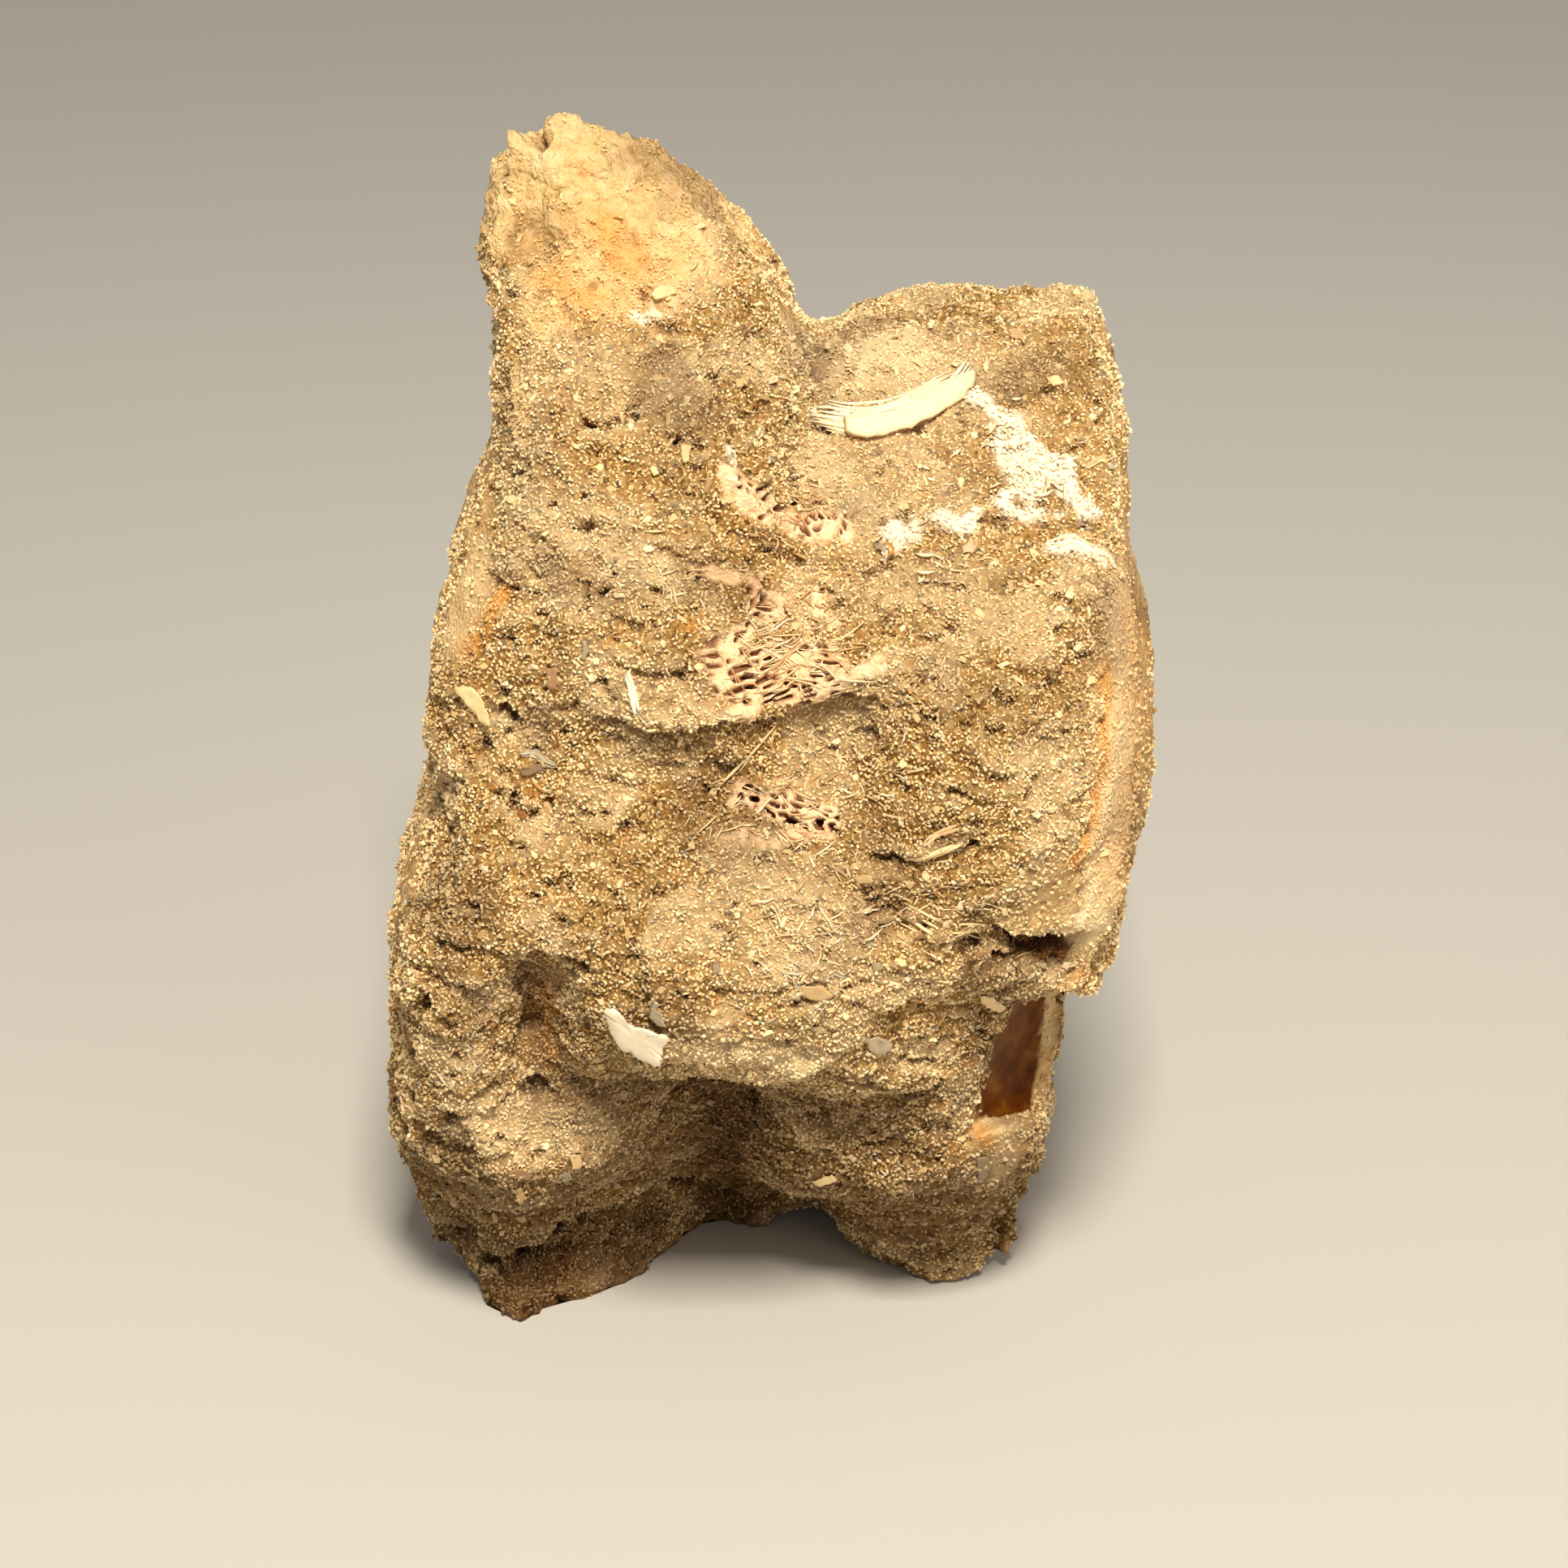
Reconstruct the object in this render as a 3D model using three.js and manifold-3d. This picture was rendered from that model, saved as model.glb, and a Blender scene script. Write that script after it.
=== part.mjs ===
// Fossil mosasaur vertebra: a block of bone in its sandy rock matrix, standing on its broken base.
// Millimetres, +Z up. The rough broken face looks along -Y and the origin is under the middle.
import * as THREE from 'three';
import { mergeVertices } from 'three/addons/utils/BufferGeometryUtils.js';
import { ImprovedNoise } from 'three/addons/math/ImprovedNoise.js';
import Module from 'manifold-3d';

const wasm = await Module();
wasm.setup();

// Driving dimensions
const HALF_WIDTH = 24;
const HALF_HEIGHT = 40;
const MESH_DETAIL = 21;
const SQUARENESS = 4;
const RIM_ANGLE = THREE.MathUtils.degToRad(101);
const LEDGE_SOFTNESS = 1.5;
const UNDERSIDE_HEIGHT = 2.4;
const UNDERSIDE_WAVE = 6;
const PAD_DEPTH = 4.8;
const FRONT_SMOOTHING = THREE.MathUtils.degToRad(14);
const BACK_SMOOTHING = THREE.MathUtils.degToRad(7);
const FRONT_BLEND_START = 0.4;
const BACK_BLEND_START = 0.8;
const SMOOTHING_STEPS = 4;
const CURVE_STEPS = 14;

// The outline seen from the front as [x, z], clockwise from the tip of the spire.
// It runs on below the floor, where the flat base cuts it off.
const OUTLINE = [
  [-12.3, 80.6], [-10.4, 79.2], [-6.7, 77.9], [-4.4, 76], [-2.2, 73.4], [0, 71], [1.3, 68],
  [1.7, 65.8], [2.3, 64.4], [4, 64.6], [6, 66], [9, 66.4], [14.3, 65.4], [18.2, 66.5], [20.1, 65.6],
  [21.8, 62], [22.8, 56.5], [23.1, 51.8], [23.9, 46.5], [23.6, 41.8], [22.4, 34.7], [21.7, 30.2],
  [21, 25.8], [19.4, 24.2], [19.2, 20.6], [18.4, 13.6], [17.6, 8.5], [16.2, 3.8], [14.6, -2],
  [9, -7], [-12, -7], [-19, -5], [-22.2, 0.6], [-23.8, 5.3], [-26, 9], [-25.5, 14.8],
  [-24.6, 20], [-24.7, 25], [-25, 30], [-24, 34.5], [-20.8, 37.8], [-20.8, 43], [-20.8, 50],
  [-19, 55.5], [-17.8, 61.2], [-17.6, 65.2], [-17.4, 71.6], [-17, 75.4], [-16, 77.2],
  [-15.6, 78.8], [-14.9, 78.5], [-14, 80.4],
];

// Depth profiles as [z, y]: where the front face, the back face and the rim between them stand.
const FRONT_PROFILE = [
  [0, -3], [5, -6], [12, -11], [19, -15], [24, -18], [34, -20.5], [44, -18.5], [54, -16.5],
  [64, -13], [72, -8.5], [80, -3],
];
const BACK_PROFILE = [[0, 19], [14, 21.5], [30, 22], [50, 21.5], [62, 19], [70, 12], [80, 4]];
const RIM_PROFILE = [[0, -5], [14, -2], [30, -3], [46, -1], [58, 1], [68, 3], [80, 2]];

// Where the front face meets the floor, as [x, y]: two toes with a rounded bay between them.
const FOOTPRINT = [
  [-24, -3], [-20.5, -8], [-17.8, -12], [-14.9, -10.5], [-12.2, -8], [-8.5, -3.5], [-4.2, 3.5],
  [-0.7, 1], [2.1, 3], [4.9, 0], [7.9, -3.8], [11, -5.2], [14.1, -4.2], [17, 0],
];
const FOOT_HEIGHT = 11;

// Swellings of the front face at [x, z]. A negative height is a hollow.
const FRONT_LUMPS = [
  { name: 'shoulder set back', at: [14, 69], size: [10, 9], height: -13 },
  { name: 'right bulge', at: [14.5, 47], size: [7.5, 11], height: 5 },
  { name: 'valley head', at: [2, 57], size: [4.5, 7], height: -2.5 },
  { name: 'valley', at: [1, 50], size: [4, 5], height: -1.5 },
  { name: 'left mass', at: [-11, 54], size: [6, 9], height: 1.5 },
  { name: 'belly', at: [-1, 32], size: [14, 6.5], height: 3 },
  { name: 'lower belly', at: [-6, 26], size: [6, 3], height: 1.2 },
  { name: 'left bulge', at: [-21, 38], size: [3, 4], height: 2.5 },
  { name: 'left hollow', at: [-14, 46.5], size: [3, 3], height: -2 },
  { name: 'small pit', at: [-14, 43], size: [1.8, 2.2], height: -1.5 },
  { name: 'dark lump', at: [-15.3, 57.5], size: [2, 2], height: 1.2 },
  { name: 'spire hollow', at: [-15, 74.5], size: [2.4, 2.6], height: -1.8 },
  { name: 'spire face', at: [-9, 72], size: [5, 4], height: 1.5 },
  { name: 'left foot', at: [-17, 13], size: [6, 5], height: 4.5 },
  { name: 'right foot', at: [10, 14], size: [7, 6.5], height: 4 },
];

// Ridges of the front face between two points [x, z]. A negative height is a groove.
const FRONT_RIDGES = [
  { name: 'fold of spongy bone', from: [-3, 48], to: [8.5, 52], width: 2.4, height: 2 },
  { name: 'groove under the fold', from: [-8, 44], to: [6, 46.5], width: 2.6, height: -1.5 },
  { name: 'lower left ridge', from: [-21.5, 30], to: [-19, 16], width: 2.6, height: 2.6 },
  { name: 'undercut beside it', from: [-15.2, 30.5], to: [-14.8, 23], width: 2.4, height: -3.2 },
  { name: 'hollow between the feet', from: [-4, 18], to: [-4, 10], width: 4, height: -3.5 },
];

// Ledges: the face drops to the right of the line from one point [x, z] to the next,
// sharply at the line, and comes back out over the reach.
const FRONT_LEDGES = [
  { name: 'side of the spire', from: [0.6, 60], to: [1.8, 74], drop: 3, reach: 8 },
  { name: 'brow of the belly', from: [-9, 25.5], to: [7, 20.5], drop: 2.4, reach: 6 },
  { name: 'left foot ledge', from: [-23, 10.5], to: [-13, 9.5], drop: 2.5, reach: 6 },
  { name: 'left foot inner ledge', from: [-13, 9.5], to: [-4.5, 16], drop: 3, reach: 6 },
  { name: 'broken bone edge', from: [13, 30.5], to: [24, 27], drop: 2.6, reach: 5 },
  { name: 'crease on the left edge', from: [-20, 62.5], to: [-14, 61.5], drop: 1.4, reach: 4 },
];

// The hidden back is weathered bone with a hollowed waist and a crust of rock left on one side.
const BACK_LUMPS = [
  { name: 'rock crust', at: [-11, 28], size: [8, 11], height: 3 },
  { name: 'upper crust', at: [-8, 57], size: [8, 6], height: 2 },
  { name: 'gap in the crust', at: [-13, 44], size: [7, 4], height: -2.5 },
  { name: 'broken corner', at: [18, 8], size: [7, 9], height: -5 },
  { name: 'vein opening', at: [6, 41], size: [1.8, 2.4], height: -2 },
];
const BACK_RIDGES = [
  { name: 'hollowed waist', from: [7, 56], to: [6, 16], width: 6.5, height: -5 },
  { name: 'rim of the joint face', from: [17, 60], to: [17, 22], width: 3, height: 2 },
];
const BACK_LEDGES = [
  { name: 'edge of the crust', from: [-1, 12], to: [-2.5, 52], drop: 2, reach: 8 },
];

// Broken faces round the sides and back: a plane's normal and its distance from the origin.
const BROKEN_FACES = [
  { name: 'right side', normal: [0.97, 0.24, 0], distance: 22.6 },
  { name: 'left side', normal: [-0.95, 0.31, 0], distance: 23.3 },
  { name: 'back', normal: [0.1, 0.99, -0.05], distance: 22 },
  { name: 'upper back', normal: [0.1, 0.75, 0.65], distance: 52.5 },
  { name: 'lower back', normal: [0.15, 0.95, -0.27], distance: 15.5 },
  { name: 'right bevel', normal: [0.66, 0.72, 0.22], distance: 33.5 },
  { name: 'lower left bevel', normal: [-0.66, 0.72, -0.22], distance: 22.5 },
  { name: 'upper left bevel', normal: [-0.62, 0.7, 0.35], distance: 40.5 },
];
const FACE_FLATNESS = 0.85;

// The base stands on pads at [x, y]. Between them the underside is hollow.
const PADS = [
  { name: 'left toe', at: [-17, -9], radius: 4 },
  { name: 'left foot edge', at: [-11.5, -4.5], radius: 4 },
  { name: 'inner end of the left foot', at: [-7, 1], radius: 3 },
  { name: 'right toe', at: [11, -2], radius: 4.5 },
  { name: 'lobe', at: [-1, 4], radius: 3 },
  { name: 'left heel', at: [-13, 12], radius: 4.5 },
  { name: 'right heel', at: [10, 13], radius: 4.5 },
];

// The flat bone facet let into the lower right corner: the middle of its floor, its size along,
// out of and up the corner, and how far it is turned from the front and leans.
const FACET = {
  middle: [14.9, -11, 23.2],
  size: [9.2, 6, 11.6],
  turn: THREE.MathUtils.degToRad(54),
  lean: THREE.MathUtils.degToRad(8),
};
const BASE_SIZE = 60;
const BASE_STEPS = 36;

// Broken-rock roughness as noise waves: their size and how far they move the surface.
const ROCK_WAVES = [
  { size: 15, height: 1.9 },
  { size: 7, height: 1 },
  { size: 3.8, height: 0.6 },
];
const ROCK_NOISE_ORIGIN = new THREE.Vector3(0, 9, 4);
const UNDERSIDE_NOISE_ORIGIN = new THREE.Vector3(0, 0, 0.5);
const WELD_DISTANCE = 0.0001;

const stone = new THREE.MeshStandardMaterial({ color: 0xc9a066, roughness: 0.95, metalness: 0 });
const perlin = new ImprovedNoise();

// A smooth curve through [key, value] pairs, read at any key.
function profile(pairs) {
  const points = pairs.map(([key, value]) => new THREE.Vector2(key, value));
  const curve = new THREE.SplineCurve(points).getPoints(CURVE_STEPS * pairs.length);
  return (key) => {
    const next = curve.findIndex((point) => point.x >= key);
    if (next < 0) {
      return curve[curve.length - 1].y;
    }
    if (next === 0) {
      return curve[0].y;
    }
    const [low, high] = [curve[next - 1], curve[next]];
    return THREE.MathUtils.mapLinear(key, low.x, high.x, low.y, high.y);
  };
}

// Distance from the middle to the outline, at an angle in the XZ plane.
function outlineReach() {
  const points = OUTLINE.map(([x, z]) => new THREE.Vector3(x, z - HALF_HEIGHT, 0));
  const curve = new THREE.CatmullRomCurve3(points, true, 'catmullrom', 0.5);
  const spokes = curve.getPoints(CURVE_STEPS * points.length).map((point) => ({
    angle: Math.atan2(point.y, point.x),
    reach: point.length(),
  }));
  spokes.sort((one, other) => one.angle - other.angle);
  const last = spokes[spokes.length - 1];
  const first = spokes[0];
  spokes.unshift({ angle: last.angle - 2 * Math.PI, reach: last.reach });
  spokes.push({ angle: first.angle + 2 * Math.PI, reach: first.reach });
  return (angle) => {
    const next = spokes.findIndex((spoke) => spoke.angle >= angle);
    const [low, high] = [spokes[next - 1], spokes[next]];
    return THREE.MathUtils.mapLinear(angle, low.angle, high.angle, low.reach, high.reach);
  };
}

// The same angle between -PI and PI.
function wrap(angle) {
  return Math.atan2(Math.sin(angle), Math.cos(angle));
}

const reachAt = outlineReach();
const frontAt = profile(FRONT_PROFILE);
const backAt = profile(BACK_PROFILE);
const rimAt = profile(RIM_PROFILE);
const footprintAt = profile(FOOTPRINT);

// Bell-shaped falloff: 1 at 0, about 0.4 at 1, near 0 from 2 on.
function bell(distance) {
  return Math.exp(-distance * distance);
}

// Where a point stands along and across the line between two others.
function alongLine(x, z, from, to) {
  const [dx, dz] = [to[0] - from[0], to[1] - from[1]];
  const length = Math.hypot(dx, dz);
  const along = ((x - from[0]) * dx + (z - from[1]) * dz) / (length * length);
  const across = ((z - from[1]) * dx - (x - from[0]) * dz) / length;
  const beyond = Math.max(-along, along - 1, 0) * length;
  return { across, beyond };
}

// How far a face stands out at [x, z] because of the features in its lists.
function relief(x, z, lumps, ridges, ledges) {
  let height = 0;
  for (const lump of lumps) {
    const away = Math.hypot((x - lump.at[0]) / lump.size[0], (z - lump.at[1]) / lump.size[1]);
    height += lump.height * bell(away);
  }
  for (const ridge of ridges) {
    const { across, beyond } = alongLine(x, z, ridge.from, ridge.to);
    height += ridge.height * bell(Math.hypot(across, beyond) / ridge.width);
  }
  for (const ledge of ledges) {
    const { across, beyond } = alongLine(x, z, ledge.from, ledge.to);
    const step = THREE.MathUtils.smoothstep(-across, -LEDGE_SOFTNESS, LEDGE_SOFTNESS);
    const fade = bell(Math.max(-across, 0) / ledge.reach) * bell(beyond / ledge.reach);
    height -= ledge.drop * step * fade;
  }
  return height;
}

// The height of the hollow underside over the floor at [x, y], below zero over a pad.
function undersideAt(x, y) {
  const spot = new THREE.Vector3(x, y, 0).divideScalar(UNDERSIDE_WAVE).add(UNDERSIDE_NOISE_ORIGIN);
  let height = UNDERSIDE_HEIGHT + perlin.noise(spot.x, spot.y, spot.z);
  for (const pad of PADS) {
    height -= PAD_DEPTH * bell(Math.hypot(x - pad.at[0], y - pad.at[1]) / pad.radius);
  }
  return height;
}

// The outline's reach for a point this share of the way out: its small steps fade inwards
// over the front, and close behind the rim on the back.
function outlineAt(angle, rimShare, isFront) {
  const spread = isFront ? FRONT_SMOOTHING : BACK_SMOOTHING;
  let total = 0;
  for (let step = -SMOOTHING_STEPS; step <= SMOOTHING_STEPS; step++) {
    total += reachAt(wrap(angle + (step * spread) / SMOOTHING_STEPS));
  }
  const smooth = total / (2 * SMOOTHING_STEPS + 1);
  const blendStart = isFront ? FRONT_BLEND_START : BACK_BLEND_START;
  const exactness = THREE.MathUtils.smoothstep(rimShare, blendStart, 1);
  return THREE.MathUtils.lerp(smooth, reachAt(angle), exactness);
}

function frontFace(x, z) {
  const atFloor = THREE.MathUtils.smoothstep(z, 0, FOOT_HEIGHT);
  const plain = THREE.MathUtils.lerp(footprintAt(x), frontAt(z), atFloor);
  return plain - relief(x, z, FRONT_LUMPS, FRONT_RIDGES, FRONT_LEDGES);
}

function backFace(x, z) {
  return backAt(z) + relief(x, z, BACK_LUMPS, BACK_RIDGES, BACK_LEDGES);
}

// Moves a point of the unit sphere to its place on the fossil.
function place(direction) {
  const angle = Math.atan2(direction.z * HALF_HEIGHT, direction.x * HALF_WIDTH);
  const fromPole = Math.acos(THREE.MathUtils.clamp(-direction.y, -1, 1));
  const isFront = fromPole < RIM_ANGLE;
  const share = isFront ? fromPole / RIM_ANGLE : (Math.PI - fromPole) / (Math.PI - RIM_ANGLE);
  const turn = (share * Math.PI) / 2;
  const [sine, cosine] = [Math.sin(turn), Math.cos(turn)];
  const scale = (sine ** SQUARENESS + cosine ** SQUARENESS) ** (-1 / SQUARENESS);
  const reach = outlineAt(angle, sine * scale, isFront) * sine * scale;
  const x = reach * Math.cos(angle);
  const z = reach * Math.sin(angle) + HALF_HEIGHT;
  const face = isFront ? frontFace(x, z) : backFace(x, z);
  const placed = new THREE.Vector3(x, THREE.MathUtils.lerp(rimAt(z), face, cosine * scale), z);
  for (const plane of BROKEN_FACES) {
    const normal = new THREE.Vector3(...plane.normal);
    const beyond = placed.dot(normal) - plane.distance;
    placed.addScaledVector(normal, -FACE_FLATNESS * Math.max(beyond, 0));
  }
  let rough = 0;
  for (const wave of ROCK_WAVES) {
    const spot = placed.clone().divideScalar(wave.size).add(ROCK_NOISE_ORIGIN);
    rough += wave.height * perlin.noise(spot.x, spot.y, spot.z);
  }
  return placed.addScaledVector(direction, rough);
}

function toManifold(geometry) {
  const bare = geometry.index ? geometry.toNonIndexed() : geometry.clone();
  bare.deleteAttribute('normal');
  bare.deleteAttribute('uv');
  const merged = mergeVertices(bare, WELD_DISTANCE);
  const vertProperties = new Float32Array(merged.attributes.position.array);
  const triVerts = new Uint32Array(merged.index.array);
  return new wasm.Manifold(new wasm.Mesh({ numProp: 3, vertProperties, triVerts }));
}

function toGeometry(solid) {
  const mesh = solid.getMesh();
  const geometry = new THREE.BufferGeometry();
  geometry.setAttribute('position', new THREE.BufferAttribute(mesh.vertProperties, 3));
  geometry.setIndex(new THREE.BufferAttribute(mesh.triVerts, 1));
  return geometry;
}

function roughBody() {
  const geometry = new THREE.IcosahedronGeometry(1, MESH_DETAIL);
  const position = geometry.attributes.position;
  const point = new THREE.Vector3();
  for (let i = 0; i < position.count; i++) {
    point.fromBufferAttribute(position, i).normalize();
    const placed = place(point);
    position.setXYZ(i, placed.x, placed.y, placed.z);
  }
  return toManifold(geometry);
}

// What is cut away below: everything under the floor, and the hollow between the pads.
function groundBlock() {
  const block = new THREE.BoxGeometry(
    BASE_SIZE, BASE_SIZE, BASE_SIZE, BASE_STEPS, BASE_STEPS, 1,
  );
  block.translate(0, 0, -BASE_SIZE / 2);
  const position = block.attributes.position;
  for (let i = 0; i < position.count; i++) {
    if (position.getZ(i) === 0) {
      position.setZ(i, Math.max(undersideAt(position.getX(i), position.getY(i)), 0));
    }
  }
  return toManifold(block);
}

// The block that leaves the recessed facet when it is cut from the corner.
function facetBlock() {
  const [along, out, up] = FACET.size;
  const block = new THREE.BoxGeometry(along, out, up);
  block.translate(0, -out / 2, 0);
  block.rotateY(FACET.lean);
  block.rotateZ(FACET.turn);
  block.translate(...FACET.middle);
  return toManifold(block);
}

// The origin goes under the middle of the part, on the floor.
function centred(geometry) {
  geometry.computeBoundingBox();
  const middle = geometry.boundingBox.getCenter(new THREE.Vector3());
  return geometry.translate(-middle.x, -middle.y, 0);
}

const body = roughBody().subtract(groundBlock()).subtract(facetBlock());
const vertebra = new THREE.Mesh(centred(toGeometry(body)), stone);
vertebra.name = 'vertebra';

const fossil = new THREE.Group();
fossil.add(vertebra);

export default fossil;
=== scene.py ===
"""The fossil mosasaur vertebra: broken bone in its cemented sand, with the grains, pores and splinters."""
import itertools
import math

import bmesh
import bpy
import numpy as np
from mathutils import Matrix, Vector
from mathutils.bvhtree import BVHTree


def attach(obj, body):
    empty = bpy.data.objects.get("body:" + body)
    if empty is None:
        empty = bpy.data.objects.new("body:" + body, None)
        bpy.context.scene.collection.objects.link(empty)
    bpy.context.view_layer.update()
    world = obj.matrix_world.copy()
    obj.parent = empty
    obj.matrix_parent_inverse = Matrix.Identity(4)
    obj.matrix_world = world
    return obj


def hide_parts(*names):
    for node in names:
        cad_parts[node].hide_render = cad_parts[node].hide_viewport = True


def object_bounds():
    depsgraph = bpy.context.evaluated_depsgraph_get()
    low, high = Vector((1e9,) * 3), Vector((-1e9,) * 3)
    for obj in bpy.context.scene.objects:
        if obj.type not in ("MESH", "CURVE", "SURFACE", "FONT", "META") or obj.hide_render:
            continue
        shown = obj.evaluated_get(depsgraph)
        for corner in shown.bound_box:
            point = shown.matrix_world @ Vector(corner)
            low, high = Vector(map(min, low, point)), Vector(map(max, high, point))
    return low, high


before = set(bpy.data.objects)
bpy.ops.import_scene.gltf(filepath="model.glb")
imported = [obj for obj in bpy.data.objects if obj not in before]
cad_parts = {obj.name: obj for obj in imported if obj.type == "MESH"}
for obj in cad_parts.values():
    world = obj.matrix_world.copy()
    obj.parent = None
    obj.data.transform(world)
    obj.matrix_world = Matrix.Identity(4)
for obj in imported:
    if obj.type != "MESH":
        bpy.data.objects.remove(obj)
cad_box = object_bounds()

MM = 0.001
# Sizes below are in millimetres, about the point that the part's forms are laid out around.
LAYOUT_SHIFT = np.array([0.587, -0.284, 0.0])
WELD_DISTANCE = 0.001 * MM
# Points lower than this stand on the floor.
FLOOR_TOUCH = 0.001

# Edge lengths that the stone is carved at: on the spongy bone, on the broken front, and on the
# sides and back. Then the triangles that are kept where they show the carving best.
PORE_EDGE = 0.09
FRONT_EDGE = 0.22
BACK_EDGE = 0.42
STONE_TRIANGLES = 196000
# Rounds of splitting, each evened out by this many passes that move a point halfway, and how many
# times the wanted length an edge may have before it is split.
REFINE_ROUNDS = 7
EVENING_PASSES = 2
SPLIT_OVER = 1.4
# Where the spongy bone lies on the front: from, to and how far round, as x and z.
SPONGY_ZONES = [
    ([-2.0, 53.5], [3.0, 50.3], 3.4), ([-2.0, 61.0], [3.6, 57.3], 1.7),
    ([-2.0, 43.2], [4.2, 42.0], 1.6), ([-1.2, 56.2], [0.4, 54.8], 1.4),
]
# No spongy bone lies further back than this.
SPONGY_FRONT = -8
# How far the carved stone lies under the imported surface, which the grains on it reach.
SKIN_DEPTH = 0.14
# The worn lower faces carry less loose sand up to this height.
UNDERSIDE_TOP = 13
# Passes of smoothing that tell the hollows of the carved stone from its crests.
HOLLOW_PASSES = 12
# A line of sight towards the front starts this far before it.
SIGHT_START = -100

# Sand of the broken front, coarser towards the feet: from and to which height it lies, how close
# the grains are, and their smallest and largest half widths.
SAND_BANDS = {
    "sand_of_the_feet": (0, 21, 0.2, (0.09, 0.22)),
    "sand_of_the_belly": (21, 40, 0.17, (0.08, 0.2)),
    "sand_of_the_middle": (40, 58, 0.165, (0.08, 0.19)),
    "sand_of_the_top": (58, 90, 0.17, (0.08, 0.18)),
}
# Most grains on a square metre before the spacing thins them out.
GRAIN_DENSITY = 26e6
BACK_GRAIN_SPACING = 0.29
BACK_GRAIN_SIZES = (0.11, 0.26)
# A grain's width, breadth and height as shares of its size, and how far grains sink in or stand out.
GRAIN_SHAPE = np.array([1.0, 0.9, 0.8])
GRAIN_SEAT = (-0.07, 0.1)
# No grain lies lower than this over the floor.
GRAIN_FLOOR = 0.5
# Chips of shell and bone between the grains, and crumbs on the chalky bands: how close they lie,
# the most on a square metre, and their smallest and largest half widths, breadths and heights.
CHIPS = (1.0, 0.4e6, (0.18, 0.14, 0.1), (0.46, 0.3, 0.18))
CRUMBS = (0.25, 18e6, (0.12, 0.1, 0.08), (0.26, 0.18, 0.14))
# How far a grain may turn, and a chip, which lies flatter, about its own three directions.
GRAIN_TURN = (1.3, 1.3, 6.283)
CHIP_TURN = (0.6, 0.6, 6.283)
# Room for one chart of the stone's UV map, and the passes that even out which chart a triangle is in.
CHART_CELL = (52.0, 83.0)
CHART_PASSES = 25


# ---------------------------------------------------------------- noise and measures

shuffle = np.random.default_rng(7).permutation(256)
slopes = np.random.default_rng(8).normal(size=(256, 3))
slopes /= np.linalg.norm(slopes, axis=1, keepdims=True)
# How far each seed moves the noise, and what brings its values to about -1 to 1.
SEED_SHIFT = 7.31
NOISE_GAIN = 1.6
# How far a cell's middle may lie from the middle of its square.
CELL_JITTER = 0.42


def noise(points, size, seed):
    """Smooth random values of about -1 to 1, in lumps of this size."""
    spot = points / size + seed * SEED_SHIFT
    corner = np.floor(spot).astype(int)
    part = spot - corner
    fade = part * part * part * (part * (part * 6 - 15) + 10)
    total = np.zeros(len(points))
    for step in itertools.product((0, 1), repeat=3):
        at = (corner + step) & 255
        key = shuffle[(shuffle[(shuffle[at[:, 0]] + at[:, 1]) & 255] + at[:, 2]) & 255]
        weight = np.prod(np.where(step, fade, 1 - fade), axis=1)
        total += weight * np.einsum("ij,ij->i", slopes[key], part - step)
    return total * NOISE_GAIN


def cell_walls(spots, seed):
    """How far flat spots lie from the walls between uneven cells of size one, up to about one."""
    base = np.floor(spots).astype(int)
    nearest = np.full((len(spots), 2), 9.0)
    for step in itertools.product((-1, 0, 1), repeat=2):
        at = (base + step) & 255
        key = shuffle[(shuffle[at[:, 0]] + at[:, 1] + seed) & 255]
        middle = base + step + 0.5 + CELL_JITTER * slopes[key, :2]
        away = np.linalg.norm(spots - middle, axis=1)
        nearest = np.sort(np.column_stack([nearest, away]), axis=1)[:, :2]
    return nearest[:, 1] - nearest[:, 0]


def inside(spots, outline):
    """Which flat spots lie inside a closed outline."""
    within = np.zeros(len(spots), bool)
    for (x1, z1), (x2, z2) in zip(outline, outline[1:] + outline[:1]):
        if z1 != z2:
            edge = x1 + (spots[:, 1] - z1) / (z2 - z1) * (x2 - x1)
            within ^= ((z1 > spots[:, 1]) != (z2 > spots[:, 1])) & (spots[:, 0] < edge)
    return within


def smooth_step(value, low, high):
    """0 up to the low value, 1 from the high one on, and an even rise between."""
    part = np.clip((value - low) / (high - low), 0, 1)
    return part * part * (3 - 2 * part)


def lumps(points, rows, base=0):
    """Noise of several sizes added up. Each row has its size, how far it moves, and its seed."""
    return sum((amount * noise(points, size, seed) for size, amount, seed in rows), base)


def bell(distance):
    """1 at 0, about 0.4 at 1 and near 0 from 2 on."""
    return np.exp(-distance * distance)


def sighted(tree, spot):
    """Where a line of sight through [x, z] meets the front of a surface, or nothing beside it."""
    return tree.ray_cast(Vector((spot[0], SIGHT_START, spot[1])), Vector((0, 1, 0)))[0]


def nearness(points, start, end):
    """Each point's distance to a line between two places, and how far along the line it is."""
    start, end = np.asarray(start, float), np.asarray(end, float)
    run = end - start
    length = max(float(run @ run), 1e-9)
    along = np.clip((points - start) @ run / length, 0, 1)
    return np.linalg.norm(points - start - along[:, None] * run, axis=1), along


# ---------------------------------------------------------------- the stone's mesh

def packed_stone():
    """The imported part's corners and triangles, welded."""
    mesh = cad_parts["vertebra"].data
    shell = bmesh.new()
    shell.from_mesh(mesh)
    bmesh.ops.remove_doubles(shell, verts=shell.verts, dist=WELD_DISTANCE)
    points = np.array([corner.co for corner in shell.verts]) / MM - LAYOUT_SHIFT
    faces = np.array([[corner.index for corner in face.verts] for face in shell.faces])
    shell.free()
    return points, faces


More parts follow.
